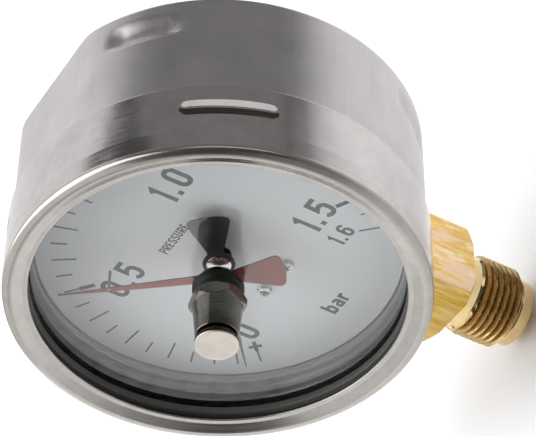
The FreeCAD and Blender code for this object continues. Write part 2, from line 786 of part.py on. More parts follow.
def make_pointer():
    """Black pointer and the boss that carries it on the pinion's arbor."""
    sheet = pointer_blade("pointer", mm.pointer_length, 1.1, mm.pointer_front)
    rear = mm.pointer_front - mm.pointer_sheet
    disc = ring("pointer_disc", 0.0, DISC_OF_POINTER, rear, mm.pointer_front)
    solid = fused("pointer_solid", *sheet, disc)
    eye = ring("pointer_eye", 0.0, 2.2, rear - 1, mm.pointer_front + 1)
    part(on_face(cut("pointer_cut", solid, eye), angle=POINTER_ANGLE), "pointer")
    part(on_face(turned("pointer_boss", [
        (mm.arbor_radius, 0.8), (2.2, 0.8), (2.2, mm.pointer_front), (BOSS_RADIUS, mm.pointer_front),
        (BOSS_RADIUS, mm.pointer_front + 0.3), (BOSS_RADIUS - 0.2, mm.pointer_front + 0.5),
        (0, mm.pointer_front + 0.5),
        (0, 2.0), (mm.arbor_radius, 2.0),
    ])), "pointer_hub")


def make_drag_pointer():
    """Red drag pointer, its driver pin, its rivet and the spindle that turns it."""
    front = mm.drag_front
    rear = front - mm.pointer_sheet
    sheet = pointer_blade("drag", mm.drag_length, 1.3, front)
    disc = ring("drag_disc", 0.0, DISC_OF_DRAG, rear, front)
    solid = fused("drag_solid", *sheet, disc)
    eye = ring("drag_eye", 0.0, 1.0, rear - 1, front + 1)
    pin_hole = rod_in_body("drag_pin_hole", PIN_RADIUS, rear - 1, front + 1, mm.drag_pin_radius)
    part(on_face(cut("drag_cut", solid, eye, pin_hole), angle=DRAG_ANGLE), "drag_pointer")
    pin_x = mm.drag_pin_radius * math.cos(math.radians(DRAG_ANGLE))
    pin_y = mm.drag_pin_radius * math.sin(math.radians(DRAG_ANGLE))
    part(rod("drag_pin_rod", PIN_RADIUS, PIN_END, front, pin_x, pin_y), "drag_pin")
    part(on_face(turned("spindle", [
        (0, rear), (1.0, rear), (1.0, front), (mm.spindle_radius, front),
        (mm.spindle_radius, mm.knob_front - 2.0), (0, mm.knob_front - 2.0),
    ])), "drag_spindle")
    part(on_face(turned("drag_rivet_head", [(0, rear - 0.5), (1.2, rear - 0.5), (1.6, rear - 0.3),
                                           (1.6, rear), (0, rear)])), "drag_rivet")


def rod_in_body(name, radius, low, high, x):
    """A cutting cylinder in the frame of the pointer that it drills."""
    body = new_body(name)
    add_pad(body, name + "_pad", lambda s: draw_circle(s, x, 0, radius), low, high)
    return body


BUSHING_FLANGE = 4.5
BUSHING_END = 18.0            # dial face to the front of the bushing
NUT_REAR_BEVEL = 1.3
NUT_FRONT_BEVEL = 1.4
KNOB_HEAD = 1.6               # thickness of the reset knob's knurled head
DISC_PAIRS = 4                # disc springs, stacked in opposite pairs
DISC_SHEET = 0.25
DISC_HOLE = 1.7
DISC_RADIUS = 3.6
DISC_GAP = 0.02


def make_window_drive():
    """Bushing through the window, rubber washer, conical nut, friction spring and reset knob."""
    bore = mm.spindle_radius + GAP
    part(on_face(turned("bushing", [
        (bore, mm.window_seat - 0.5), (BUSHING_FLANGE, mm.window_seat - 0.5),
        (BUSHING_FLANGE, mm.window_seat), (mm.bushing_radius, mm.window_seat),
        (mm.bushing_radius, BUSHING_END), (bore, BUSHING_END),
    ])), "drag_bushing")
    part(on_face(turned("washer_ring", [
        (mm.bushing_radius + GAP, mm.window_front), (mm.washer_radius, mm.window_front),
        (mm.washer_radius, mm.nut_rear - 0.6), (mm.washer_radius - 0.6, mm.nut_rear),
        (mm.bushing_radius + GAP, mm.nut_rear),
    ])), "window_washer")

    half = mm.nut_flats / 2
    corner = half / math.cos(math.radians(30))
    corners = []
    for step in range(6):
        angle = math.radians(NUT_ANGLE + 60 * step)
        corners.append((corner * math.cos(angle), corner * math.sin(angle)))
    hexagon = plate("nut_hexagon", corners, mm.nut_rear, mm.cone_start)
    bevel = turned("nut_bevel", [
        (0, mm.nut_rear), (half, mm.nut_rear), (corner, mm.nut_rear + NUT_REAR_BEVEL),
        (corner, mm.cone_start - NUT_FRONT_BEVEL), (half - 0.1, mm.cone_start), (0, mm.cone_start),
    ])
    nose = turned("nut_nose", [(0, mm.cone_start - 0.5), (half - 0.1, mm.cone_start - 0.5),
                               (half - 0.1, mm.cone_start), (mm.knob_radius - 0.2, mm.cone_end),
                               (0, mm.cone_end)])
    solid = fused("nut_solid", common("nut_hexagon_bevelled", hexagon, bevel), nose)
    hollow = turned("nut_hollow", [
        (0, mm.nut_rear - 1), (mm.bushing_radius + 0.03, mm.nut_rear - 1),
        (mm.bushing_radius + 0.03, BUSHING_END), (mm.knob_radius - 1.0, BUSHING_END),
        (mm.knob_radius - 1.0, mm.cone_end + 1), (0, mm.cone_end + 1),
    ])
    part(on_face(cut("nut_cut", solid, hollow)), "conical_nut")

    part(on_face(turned("knob", [
        (mm.spindle_radius, mm.cone_end - 1.8), (mm.knob_radius - 1.3, mm.cone_end - 1.8),
        (mm.knob_radius - 1.3, mm.knob_front - KNOB_HEAD),
        (mm.knob_radius - 0.2, mm.knob_front - KNOB_HEAD),
        (mm.knob_radius, mm.knob_front - KNOB_HEAD + 0.2), (mm.knob_radius, mm.knob_front - 0.2),
        (mm.knob_radius - 0.2, mm.knob_front), (0, mm.knob_front), (0, mm.knob_front - 2.0),
        (mm.spindle_radius, mm.knob_front - 2.0),
    ])), "reset_knob")

    spring_low = BUSHING_END + GAP
    spring_high = mm.cone_end - 1.85
    cone = 0.5 * (spring_high - spring_low) / DISC_PAIRS - DISC_SHEET
    discs = []
    for number in range(DISC_PAIRS):
        low = spring_low + number * 2 * (cone + DISC_SHEET)
        high = low + 2 * (cone + DISC_SHEET)
        discs.append(turned("disc_spring_lower", [
            (DISC_HOLE, low), (DISC_HOLE, low + DISC_SHEET),
            (DISC_RADIUS, low + cone + DISC_SHEET - DISC_GAP), (DISC_RADIUS, low + cone - DISC_GAP),
        ]))
        discs.append(turned("disc_spring_upper", [
            (DISC_RADIUS, high - cone), (DISC_RADIUS, high - cone - DISC_SHEET),
            (DISC_HOLE, high - DISC_SHEET), (DISC_HOLE, high),
        ]))
    part(on_face(group("disc_springs", discs)), "friction_spring")


# ---------------------------------------------------------------------------------------------
# Movement
# ---------------------------------------------------------------------------------------------

PLATE_CORNERS = ((-14.5, -28.0), (13.5, -28.0), (20.0, -14.0), (20.0, -3.0), (7.0, 6.5), (-14.5, 6.5))
PILLARS = ((-10.5, -24.0), (17.0, -7.2), (-11.0, 2.5))
PILLAR_RADIUS = 1.7
PILLAR_SCREW_RADIUS = 0.8
PILLAR_SCREW_HEAD = 1.6
PLATE_ROUNDING = 2.5
ARBOR_OF_SECTOR = 1.0
MOUNTING_SCREW_RADIUS = 1.25
MOUNTING_SCREW_HEAD = 2.1
PINION_REAR = -12.6
PINION_FRONT = -9.6
COLLET_RADIUS = 1.6
COLLET_REAR = -14.4
COLLET_FRONT = -12.8
HAIRSPRING_REAR = -14.0
HAIRSPRING_WIDTH = 0.8
HAIRSPRING_SHEET = 0.14
HAIRSPRING_SPACING = 0.56
HAIRSPRING_TURNS = 10
STUD_RADIUS = 0.8


def make_movement_frame():
    """Two plates held apart by pillars, with the screws of both."""
    front = -mm.front_plate_front
    front_rear = front - mm.plate_thickness
    back = -mm.back_plate_rear
    back_front = back + mm.plate_thickness
    bearings = [(0, 0, mm.arbor_radius + 0.02), (SECTOR_X, SECTOR_Y, ARBOR_OF_SECTOR + 0.02)]
    posts = [(x, y, DIAL_SCREW_RADIUS + GAP) for x, y in dial_screw_places()]
    fixings = [(x, y, PILLAR_SCREW_RADIUS + GAP) for x, y in PILLARS]
    mounts = [(x, y, MOUNTING_SCREW_RADIUS + TURNING_GAP) for x, y in TONGUE_SCREWS]

    for name, low, high, holes, label in (
            ("front_plate", front_rear, front, bearings + posts + fixings, "movement_front_plate"),
            ("back_plate", back, back_front, bearings + mounts, "movement_back_plate")):
        body = plate(name, PLATE_CORNERS, low, high, holes)
        add_fillet(body, name + "_rounding", PLATE_ROUNDING, upright)
        part(on_face(body), label)

    pillars = []
    screws = []
    for number, (x, y) in enumerate(PILLARS, start=1):
        pillar = turned(f"pillar_{number}", [
            (0, back_front), (PILLAR_RADIUS, back_front), (PILLAR_RADIUS, front_rear),
            (PILLAR_SCREW_RADIUS + 0.03, front_rear), (PILLAR_SCREW_RADIUS + 0.03, front_rear - 4.0),
            (0, front_rear - 4.0),
        ])
        pillars.append(on_face(pillar, x, y))
        head = rod(f"plate_screw_head_{number}", PILLAR_SCREW_HEAD, front, front + 1.0, x, y)
        shank = rod(f"plate_screw_shank_{number}", PILLAR_SCREW_RADIUS, front_rear - 3.5, front, x, y)
        screws.append(fused(f"plate_screw_{number}", head, shank))
    part(group("pillar_group", pillars), "movement_pillars")
    part(group("plate_screw_group", screws), "plate_screws")

    mounting = []
    for number, (x, y) in enumerate(TONGUE_SCREWS, start=1):
        head = rod(f"mounting_head_{number}", MOUNTING_SCREW_HEAD, back_front, back_front + 1.1, x, y)
        shank = rod(f"mounting_shank_{number}", MOUNTING_SCREW_RADIUS, back - 6.0, back_front, x, y)
        mounting.append(fused(f"mounting_screw_{number}", head, shank))
    part(group("mounting_group", mounting), "movement_screws")


def tooth_points(teeth, first, count, phase):
    """Corners of a run of trapezoid teeth, each centred on its pitch angle."""
    pitch_radius = GEAR_MODULE * teeth / 2
    step = 360.0 / teeth
    tip = pitch_radius + 0.85 * GEAR_MODULE
    root = pitch_radius - 1.2 * GEAR_MODULE
    points = []
    for number in range(first, first + count):
        centre = phase + number * step
        for radius, offset in ((root, -0.34), (tip, -0.13), (tip, 0.13), (root, 0.34)):
            points.append(Vector(*polar(radius, centre + offset * step), 0))
    return points


def solid_from(points, low, high):
    """A prism from the corners of its outline."""
    face = Part.Face(Part.makePolygon(points + [points[0]]))
    face.translate(Vector(0, 0, low))
    return face.extrude(Vector(0, 0, high - low))


def make_sector():
    """Sector gear with its tail, arbor and link pin."""
    front = -mm.sector_front.value
    rear = front - mm.sector_thickness.value
    mesh_angle = math.degrees(math.atan2(-SECTOR_Y, -SECTOR_X))
    step = 360.0 / WHEEL_TEETH
    teeth = tooth_points(WHEEL_TEETH, 2 - SECTOR_TEETH, SECTOR_TEETH, mesh_angle)
    first_angle = mesh_angle + (1.5 - SECTOR_TEETH) * step
    last_angle = mesh_angle + 1.5 * step
    outline = [Vector(*polar(2.0, first_angle - 60), 0), Vector(*polar(21.0, first_angle - 2), 0)]
    outline += teeth
    outline += [Vector(*polar(21.0, last_angle + 2), 0), Vector(*polar(2.0, last_angle + 60), 0)]
    tail_x, tail_y = polar(TAIL_LENGTH, TAIL_ANGLE)
    side_x, side_y = polar(1.5, TAIL_ANGLE + 90)
    arm = [Vector(side_x, side_y, 0), Vector(-side_x, -side_y, 0),
           Vector(tail_x - side_x, tail_y - side_y, 0), Vector(tail_x + side_x, tail_y + side_y, 0)]
    thickness = front - rear
    blank = solid_from(outline, rear, front)
    blank = blank.fuse(Part.makeCylinder(3.2, thickness, Vector(0, 0, rear)))
    blank = blank.fuse(solid_from(arm, rear, front))
    blank = blank.fuse(Part.makeCylinder(1.5, thickness, Vector(tail_x, tail_y, rear)))
    blank = blank.cut(Part.makeCylinder(1.3, thickness, Vector(0, 0, rear)))
    blank = blank.cut(Part.makeCylinder(mm.pivot_radius.value, thickness, Vector(tail_x, tail_y, rear)))
    part(made("sector_blank", blank.removeSplitter(), SECTOR_X, SECTOR_Y), "sector_gear")

    back_end = TURNING_GAP - mm.back_plate_rear
    front_end = -mm.front_plate_front - TURNING_GAP
    part(on_face(turned("sector_shaft", [
        (0, back_end), (ARBOR_OF_SECTOR, back_end), (ARBOR_OF_SECTOR, rear - 1.2), (2.4, rear - 1.2),
        (2.4, rear), (1.3, rear), (1.3, front), (1.9, front), (1.9, front + 0.3),
        (ARBOR_OF_SECTOR, front + 0.3), (ARBOR_OF_SECTOR, front_end), (0, front_end),
    ]), SECTOR_X, SECTOR_Y), "sector_arbor")
    link_front = -mm.link_front
    pin_x = SECTOR_X + tail_x
    pin_y = SECTOR_Y + tail_y
    shank = rod("link_pin_shank", mm.pivot_radius, rear - 0.3, link_front + 0.2, pin_x, pin_y)
    foot = rod("link_pin_foot", 1.0, rear - 0.5, rear, pin_x, pin_y)
    head = rod("link_pin_head", 1.1, link_front + 0.2, link_front + 0.6, pin_x, pin_y)
    part(fused("link_pin", shank, foot, head), "sector_link_pin")


def make_link():
    """Link from the sector's tail to the tube's end piece; the hole at the tip end is a slack one."""
    tail_x, tail_y = polar(TAIL_LENGTH, TAIL_ANGLE)
    start_x = SECTOR_X + tail_x
    start_y = SECTOR_Y + tail_y
    length = math.hypot(TIP_X - start_x, TIP_Y - start_y)
    heading = math.degrees(math.atan2(TIP_Y - start_y, TIP_X - start_x))
    front = -mm.link_front
    rear = front - mm.link_thickness
    bar = plate("link_bar", [(0, -1.0), (length, -1.0), (length, 1.0), (0, 1.0)], rear, front)
    near = rod_in_body("link_near_eye", 1.6, rear, front, 0)
    far = rod_in_body("link_far_eye", 2.0, rear, front, length)
    near_hole = rod_in_body("link_near_hole", mm.pivot_radius + 0.05, rear - 1, front + 1, 0)
    far_hole = rod_in_body("link_far_hole", mm.pivot_radius + 0.3, rear - 1, front + 1, length)
    solid = fused("link_solid", bar, near, far)
    part(on_face(cut("link_cut", solid, near_hole, far_hole), start_x, start_y, angle=heading), "link")


def make_pinion():
    """Pinion with its arbor, and the hairspring with its collet and stud."""
    mesh_angle = math.degrees(math.atan2(SECTOR_Y, SECTOR_X))
    phase = mesh_angle + 180.0 / PINION_TEETH
    gear = solid_from(tooth_points(PINION_TEETH, 0, PINION_TEETH, phase), PINION_REAR, PINION_FRONT)
    arbor = Part.makeCylinder(mm.arbor_radius.value, mm.back_plate_rear.value + 1.9,
                              Vector(0, 0, 0.1 - mm.back_plate_rear.value))
    part(made("pinion_blank", gear.fuse(arbor).removeSplitter()), "pinion")
    part(on_face(ring("collet", mm.arbor_radius, COLLET_RADIUS, COLLET_REAR, COLLET_FRONT)),
         "hairspring_collet")

    edges = []
    radius = COLLET_RADIUS + 0.15
    centre = 0.0
    side = 1
    for half_turn in range(2 * HAIRSPRING_TURNS):
        angle = 0 if side > 0 else math.pi
        circle = Part.Circle(Vector(centre, 0, 0), Vector(0, 0, 1), radius)
        edges.append(Part.ArcOfCircle(circle, angle, angle + math.pi).toShape())
        radius += HAIRSPRING_SPACING / 2
        centre += side * HAIRSPRING_SPACING / 2
        side = -side
    line = Part.Wire(edges)
    band = line.makeOffset2D(HAIRSPRING_SHEET, join=0, fill=True, openResult=True)
    spiral = band.extrude(Vector(0, 0, HAIRSPRING_WIDTH))
    part(made("spiral", spiral, height=HAIRSPRING_REAR), "hairspring")
    end = line.Vertexes[-1].Point
    part(rod("stud", STUD_RADIUS, mm.plate_thickness - mm.back_plate_rear, COLLET_FRONT,
             end.x + math.copysign(STUD_RADIUS + HAIRSPRING_SHEET, end.x), end.y), "hairspring_stud")


# ---------------------------------------------------------------------------------------------
# Bourdon tube
# ---------------------------------------------------------------------------------------------

def make_bourdon_tube():
    """C-shaped tube of flat oval section, open into the stem at its root."""
    body = new_body("tube")
    sketch = new_sketch(body, "tube_section", "XZ_Plane")
    draw_oval(sketch, mm.tube_radius, -mm.tube_depth, mm.tube_half_thickness, mm.tube_half_straight)
    draw_oval(sketch, mm.tube_radius, -mm.tube_depth, mm.tube_half_thickness - mm.tube_wall,
              mm.tube_half_straight)
    add_turn(body, sketch, TUBE_ROOT_ANGLE - TUBE_TIP_ANGLE)
    part(on_face(body, angle=TUBE_TIP_ANGLE), "bourdon_tube")


def make_tube_end():
    """Brass end piece that closes the tube and carries the link's pivot screw."""
    half_depth = mm.tube_half_straight + mm.tube_half_thickness + 0.5
    radial = mm.tube_half_thickness + 1.0
    block = ring("end_block", mm.tube_radius - radial, mm.tube_radius + radial,
                 -mm.tube_depth - half_depth, half_depth - mm.tube_depth, END_PIECE_SPAN)
    on_face(block, angle=TUBE_TIP_ANGLE - END_PIECE_SPAN)
    seat = -mm.link_front - mm.link_thickness - 0.2
    boss = rod("end_boss", 2.2, -mm.tube_depth, seat, TIP_X, TIP_Y)
    hole = rod("end_hole", mm.pivot_radius, seat - 4.0, seat + 1.0, TIP_X, TIP_Y)
    part(cut("end_cut", fused("end_solid", block, boss), hole), "tube_end_piece")
    shank = rod("tip_shank", mm.pivot_radius, seat - 3.5, 0.2 - mm.link_front, TIP_X, TIP_Y)
    head = rod("tip_head", 1.5, 0.2 - mm.link_front, 0.9 - mm.link_front, TIP_X, TIP_Y)
    part(fused("tip_screw_solid", shank, head), "tip_screw")


# ---------------------------------------------------------------------------------------------
# Build, test and write
# ---------------------------------------------------------------------------------------------

def check_document():
    """Stop if any object failed or any sub-part has no valid shape."""
    for item in document.Objects:
        if "Invalid" in item.State or "Error" in item.State:
            raise RuntimeError(f"{item.Name} failed: {item.State}")
    for item in PARTS:
        if item.Shape.isNull() or not item.Shape.isValid():
            raise RuntimeError(f"{item.Label} has no valid shape")
        if item.Shape.Volume <= 0:
            raise RuntimeError(f"{item.Label} has no volume")


def write_parts():
    """Write one STEP file per sub-part, named by its label."""
    os.makedirs("parts", exist_ok=True)
    for item in PARTS:
        item.Shape.exportStep(f"parts/{item.Label}.step")


make_case()
make_bezel_ring()
make_window()
make_window_gasket()
make_blow_out_plug()
make_case_screws()
make_stem()
make_stem_gasket()
make_dial()
make_dial_fasteners()
make_pointer()
make_drag_pointer()
make_window_drive()
make_movement_frame()
make_sector()
make_link()
make_pinion()
make_bourdon_tube()
make_tube_end()
document.recompute()
check_document()
write_parts()
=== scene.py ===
"""Looks of the pressure gauge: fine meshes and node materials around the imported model.

Two drawing frames are used, both in millimetres. In the row frame +Z is up and the dial faces -Y.
In the face frame x is to the right and y up as the dial is read, and height runs towards the reader,
with height 0 on the dial's printed face.
"""

import math

import bmesh
import bpy
from mathutils import Matrix, Vector


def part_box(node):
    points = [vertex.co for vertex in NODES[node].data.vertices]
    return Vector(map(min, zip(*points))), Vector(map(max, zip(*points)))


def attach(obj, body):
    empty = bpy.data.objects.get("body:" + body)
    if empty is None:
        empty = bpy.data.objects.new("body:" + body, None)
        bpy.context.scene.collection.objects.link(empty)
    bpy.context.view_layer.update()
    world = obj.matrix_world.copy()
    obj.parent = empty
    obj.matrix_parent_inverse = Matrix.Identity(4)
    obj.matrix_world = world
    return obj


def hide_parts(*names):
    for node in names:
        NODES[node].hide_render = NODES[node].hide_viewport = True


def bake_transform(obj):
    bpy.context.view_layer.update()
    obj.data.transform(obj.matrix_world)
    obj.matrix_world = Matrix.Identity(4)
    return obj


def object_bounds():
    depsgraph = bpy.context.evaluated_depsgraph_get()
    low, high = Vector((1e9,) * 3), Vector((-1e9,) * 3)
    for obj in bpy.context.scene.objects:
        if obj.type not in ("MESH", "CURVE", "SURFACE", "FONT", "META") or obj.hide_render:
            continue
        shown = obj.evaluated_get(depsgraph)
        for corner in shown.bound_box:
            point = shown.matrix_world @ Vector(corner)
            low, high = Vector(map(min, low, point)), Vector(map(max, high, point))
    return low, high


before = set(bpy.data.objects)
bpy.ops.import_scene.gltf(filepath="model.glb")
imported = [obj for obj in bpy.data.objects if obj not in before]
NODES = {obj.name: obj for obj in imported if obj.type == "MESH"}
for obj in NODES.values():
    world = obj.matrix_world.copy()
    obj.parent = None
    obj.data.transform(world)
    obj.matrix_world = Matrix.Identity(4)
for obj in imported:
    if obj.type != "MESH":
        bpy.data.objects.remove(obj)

CAD_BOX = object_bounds()
MM = 0.001
TURN = 2 * math.pi

# ---- Sizes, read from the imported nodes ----

AXIS_Z = sum(corner.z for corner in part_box("dial")) / 2
DIAL_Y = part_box("dial")[0].y
ROW = Matrix.Scale(MM, 4)
FACE = Matrix.Translation((0, DIAL_Y, AXIS_Z)) @ Matrix.Rotation(math.pi / 2, 4, "X") @ ROW
INTO_FACE = FACE.inverted()


def face_box(node):
    """(low, high) corners of a CAD node in the face frame, in millimetres."""
    corners = [INTO_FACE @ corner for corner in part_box(node)]
    low = Vector([min(values) for values in zip(*corners)])
    high = Vector([max(values) for values in zip(*corners)])
    return low, high


def solids(node):
    """Corner pairs of a CAD node's separate solids, from left to right, in metres of the row frame."""
    mesh = bmesh.new()
    mesh.from_mesh(NODES[node].data)
    bmesh.ops.remove_doubles(mesh, verts=mesh.verts, dist=1e-6)
    waiting = set(mesh.verts)
    boxes = []
    while waiting:
        border = [waiting.pop()]
        island = []
        while border:
            vertex = border.pop()
            island.append(vertex.co.copy())
            for edge in vertex.link_edges:
                other = edge.other_vert(vertex)
                if other in waiting:
                    waiting.discard(other)
                    border.append(other)
        low = Vector([min(values) for values in zip(*island)])
        high = Vector([max(values) for values in zip(*island)])
        boxes.append((low, high))
    mesh.free()
    return sorted(boxes, key=lambda box: box[0].x)


RING_LOW, RING_HIGH = face_box("bezel_ring")
RING_RADIUS = RING_HIGH.x
RING_REAR = RING_LOW.z
RING_FRONT = RING_HIGH.z
RING_WALL = 0.9
RING_CREASE = 9.3             # height where the ring's wall starts to lean in
LIP_RADIUS = 44.2
LIP_START = 13.8              # height from which the ring's front is rougher and painted darker, as a dark reflection
CASE_RADIUS = 49.5
CASE_WALL = 1.0
CASE_FLAT = 46.5              # axis to the flats at the top and bottom
CASE_BACK = face_box("case")[0].z
WINDOW_LOW, WINDOW_HIGH = face_box("window")
POINTER_ANGLE = 220.2
DRAG_ANGLE = 130.4
SQUARE = 11.0                 # half the stem's square


# ---- Materials ----

# The paper is a painted pool of light: pale round PAPER_CENTRE up to PAPER_EDGE, then fading to grey.
PAPER_CENTRE = (-0.5, 0.4, 0.0)
PAPER_EDGE = 0.69             # distance from that centre where the paper starts to fade, metres
PAPER_FADE = 0.18
PAPER_PALE = (0.97, 0.97, 0.97)
PAPER_GREY = (0.25, 0.25, 0.25)


class Surface:
    """A node material: one Principled shader and helpers that put textures into it."""

    def __init__(self, name, color, metallic=0.0, roughness=0.5):
        self.material = bpy.data.materials.new(name)
        self.material.use_nodes = True
        self.tree = self.material.node_tree
        self.shader = self.tree.nodes["Principled BSDF"]
        self.shader.inputs["Base Color"].default_value = (*color, 1)
        self.shader.inputs["Metallic"].default_value = metallic
        self.shader.inputs["Roughness"].default_value = roughness
        self.places = self.tree.nodes.new("ShaderNodeTexCoord")

    def node(self, kind, settings=None, **inputs):
        """A new node; inputs are values or sockets, by socket name with _ for a space."""
        node = self.tree.nodes.new(kind)
        for key, value in (settings or {}).items():
            setattr(node, key, value)
        for key, value in inputs.items():
            self.put(node.inputs[key.replace("_", " ")], value)
        return node

    def put(self, socket, value):
        if isinstance(value, bpy.types.NodeSocket):
            self.tree.links.new(value, socket)
        else:
            socket.default_value = value

    def where(self, source, stretch):
        """Texture position in millimetres: along the UV map of a turned piece, or in space."""
        unit = 1.0 if source == "UV" else 1 / MM
        scale = [unit * part for part in stretch]
        mapping = self.node("ShaderNodeMapping", Vector=self.places.outputs[source])
        mapping.inputs["Scale"].default_value = scale
        return mapping.outputs["Vector"]

    def noise(self, scale, stretch=(1, 1, 1), detail=3.0, source="Object"):
        """Noise between 0 and 1 with scale features to the millimetre."""
        return self.node("ShaderNodeTexNoise", Vector=self.where(source, stretch), Scale=scale,
                         Detail=detail).outputs["Fac"]

    def rescaled(self, value, low, high, start=0.3, stop=0.7):
        """The part of value between start and stop, spread over low to high."""
        node = self.node("ShaderNodeMapRange", Value=value)
        node.inputs["From Min"].default_value = start
        node.inputs["From Max"].default_value = stop
        node.inputs["To Min"].default_value = low
        node.inputs["To Max"].default_value = high
        return node.outputs["Result"]

    def mixed(self, factor, first, second):
        """Colour between first and second, which are colours or sockets."""
        node = self.node("ShaderNodeMix", {"data_type": "RGBA"})
        self.put(node.inputs["Factor"], factor)
        for socket, value in zip(node.inputs[6:8], (first, second)):
            self.put(socket, value if isinstance(value, bpy.types.NodeSocket) else (*value, 1))
        return node.outputs[2]

    def added(self, first, second, share=1.0):
        """first + share * second."""
        scaled = self.node("ShaderNodeMath", {"operation": "MULTIPLY"})
        self.put(scaled.inputs[0], second)
        scaled.inputs[1].default_value = share
        total = self.node("ShaderNodeMath", {"operation": "ADD"})
        self.put(total.inputs[0], first)
        self.put(total.inputs[1], scaled.outputs[0])
        return total.outputs[0]

    def color(self, value, first, second, most=1.0, start=0.3, stop=0.7):
        """Colour from first to second where value goes from start to stop; most is second's share."""
        share = self.rescaled(value, 0.0, most, start, stop)
        self.put(self.shader.inputs["Base Color"], self.mixed(share, first, second))

    def rough(self, value, low, high, start=0.3, stop=0.7):
        """Roughness from low to high where value goes from start to stop."""
        self.put(self.shader.inputs["Roughness"], self.rescaled(value, low, high, start, stop))

    def bump(self, height, depth):
        """Relief of depth millimetres."""
        node = self.node("ShaderNodeBump", Height=height, Strength=1.0, Distance=depth * MM)
        self.put(self.shader.inputs["Normal"], node.outputs["Normal"])


def darkened(color, share):
    return tuple(share * part for part in color)


def case_steel():
    """Deep-drawn stainless steel: drawing lines along the axis, cloudy satin, slightly warm."""
    surface = Surface("case_steel", (0.5, 0.49, 0.48), 1.0, 0.3)
    lines = surface.noise(1.6, (1.0, 0.02, 1.0), 4.0, "UV")
    clouds = surface.noise(0.09, detail=3.0)
    grain = surface.noise(5.0, (1.0, 0.2, 1.0), 2.0, "UV")
    tint = surface.mixed(surface.rescaled(clouds, 0.0, 1.0), (0.47, 0.455, 0.46), (0.56, 0.52, 0.53))
    surface.color(lines, tint, (0.4, 0.38, 0.375), 0.2, 0.45, 0.75)
    surface.rough(surface.added(lines, clouds, 0.6), 0.26, 0.36, 0.5, 1.1)
    surface.bump(surface.added(lines, grain, 0.25), 0.003)
    return surface.material


def ring_steel():
    """Turned stainless steel of the bayonet ring: fine lines round the axis and a few rub marks."""
    surface = Surface("ring_steel", (0.54, 0.52, 0.505), 1.0, 0.17)
    lines = surface.noise(2.5, (0.02, 1.0, 1.0), 4.0, "UV")
    clouds = surface.noise(0.12, detail=4.0)
    rubs = surface.noise(0.35, detail=6.0)
    tint = surface.mixed(surface.rescaled(clouds, 0.0, 1.0), (0.52, 0.49, 0.485), (0.6, 0.555, 0.56))
    surface.color(rubs, tint, (0.4, 0.38, 0.37), 0.3, 0.45, 0.75)
    surface.rough(surface.added(lines, clouds, 0.5), 0.11, 0.2, 0.5, 1.0)
    surface.bump(surface.added(lines, rubs, 0.3), 0.004)
    return surface.material


def turned_metal(name, color, roughness, depth=0.004, scale=3.0):
    """Metal with turning rings: the lines run round the axis of the turned piece."""
    surface = Surface(name, color, 1.0, roughness)
    lines = surface.noise(scale, (0.02, 1.0, 1.0), 3.0, "UV")
    clouds = surface.noise(0.3, detail=2.0)
    surface.color(clouds, color, darkened(color, 0.8), 0.5)
    surface.rough(lines, roughness * 0.75, roughness * 1.3)
    surface.bump(lines, depth)
    return surface.material


def sheet_metal(name, color, roughness):
    """Rolled or stamped metal of the inner parts."""
    surface = Surface(name, color, 1.0, roughness)
    grain = surface.noise(2.0, (1.0, 1.0, 0.1), 4.0)
    surface.color(surface.noise(0.25), color, darkened(color, 0.72), 0.7)
    surface.rough(grain, roughness * 0.8, roughness * 1.3)
    surface.bump(grain, 0.004)
    return surface.material


def milled_brass(name, bright, dark, stained):
    """Extruded brass of the square: long grain, and pinkish and pale stains of this strength."""
    surface = Surface(name, bright, 1.0, 0.3)
    grain = surface.noise(0.9, (1.0, 1.0, 0.12), 5.0)
    stains = surface.noise(0.16, (1.0, 1.0, 0.45), 4.0)
    spots = surface.noise(0.5, (1.0, 1.0, 0.4), 3.0)
    gold = surface.mixed(surface.rescaled(grain, 0.0, 1.0), bright, dark)
    pink = surface.mixed(surface.rescaled(stains, 0.0, stained, 0.48, 0.62), gold, (0.88, 0.64, 0.46))
    surface.color(spots, pink, (0.95, 0.84, 0.6), 0.7 * stained, 0.55, 0.68)
    surface.rough(surface.added(grain, stains, 0.5), 0.2, 0.42, 0.5, 1.0)
    surface.bump(grain, 0.012)
    return surface.material


def turned_brass(name, bright, dull, roughness, depth):
    """Turned brass: lines round the axis, stains, and darker colour in the hollows."""
    surface = Surface(name, bright, 1.0, roughness)
    lines = surface.noise(3.0, (0.03, 1.0, 1.0), 3.0, "UV")
    stains = surface.noise(0.35, detail=4.0)
    openness = surface.node("ShaderNodeAmbientOcclusion", {"samples": 8, "only_local": True},
                        Distance=1.0 * MM).outputs["AO"]
    gold = surface.mixed(surface.rescaled(stains, 0.0, 0.8), bright, dull)
    surface.color(openness, darkened(dull, 0.5), gold, 1.0, 0.4, 0.95)
    surface.rough(surface.added(lines, stains, 0.6), 0.6 * roughness, 1.6 * roughness, 0.5, 1.0)
    surface.bump(lines, depth)
    return surface.material


def rubber():
    surface = Surface("rubber", (0.018, 0.018, 0.019), 0.0, 0.55)
    grain = surface.noise(6.0, detail=3.0)
    dust = surface.noise(0.4, detail=5.0)
    surface.color(dust, (0.015, 0.015, 0.016), (0.05, 0.05, 0.048), 0.5, 0.5, 0.8)
    surface.rough(grain, 0.42, 0.65)
    surface.bump(grain, 0.01)
    return surface.material


def painted(name, color, roughness, shine=0.5):
    """Sprayed paint with a fine orange peel and small differences in depth of colour."""
    surface = Surface(name, color, 0.0, roughness)
    surface.shader.inputs["Specular IOR Level"].default_value = shine
    peel = surface.noise(2.5, detail=2.0)
    clouds = surface.noise(0.15, detail=2.0)
    paler = tuple(min(1.0, 1.15 * part + 0.004) for part in color)
    surface.color(clouds, color, paler, 0.6)
    surface.rough(peel, roughness * 0.85, roughness * 1.15)
    surface.bump(peel, 0.004)
    return surface.material


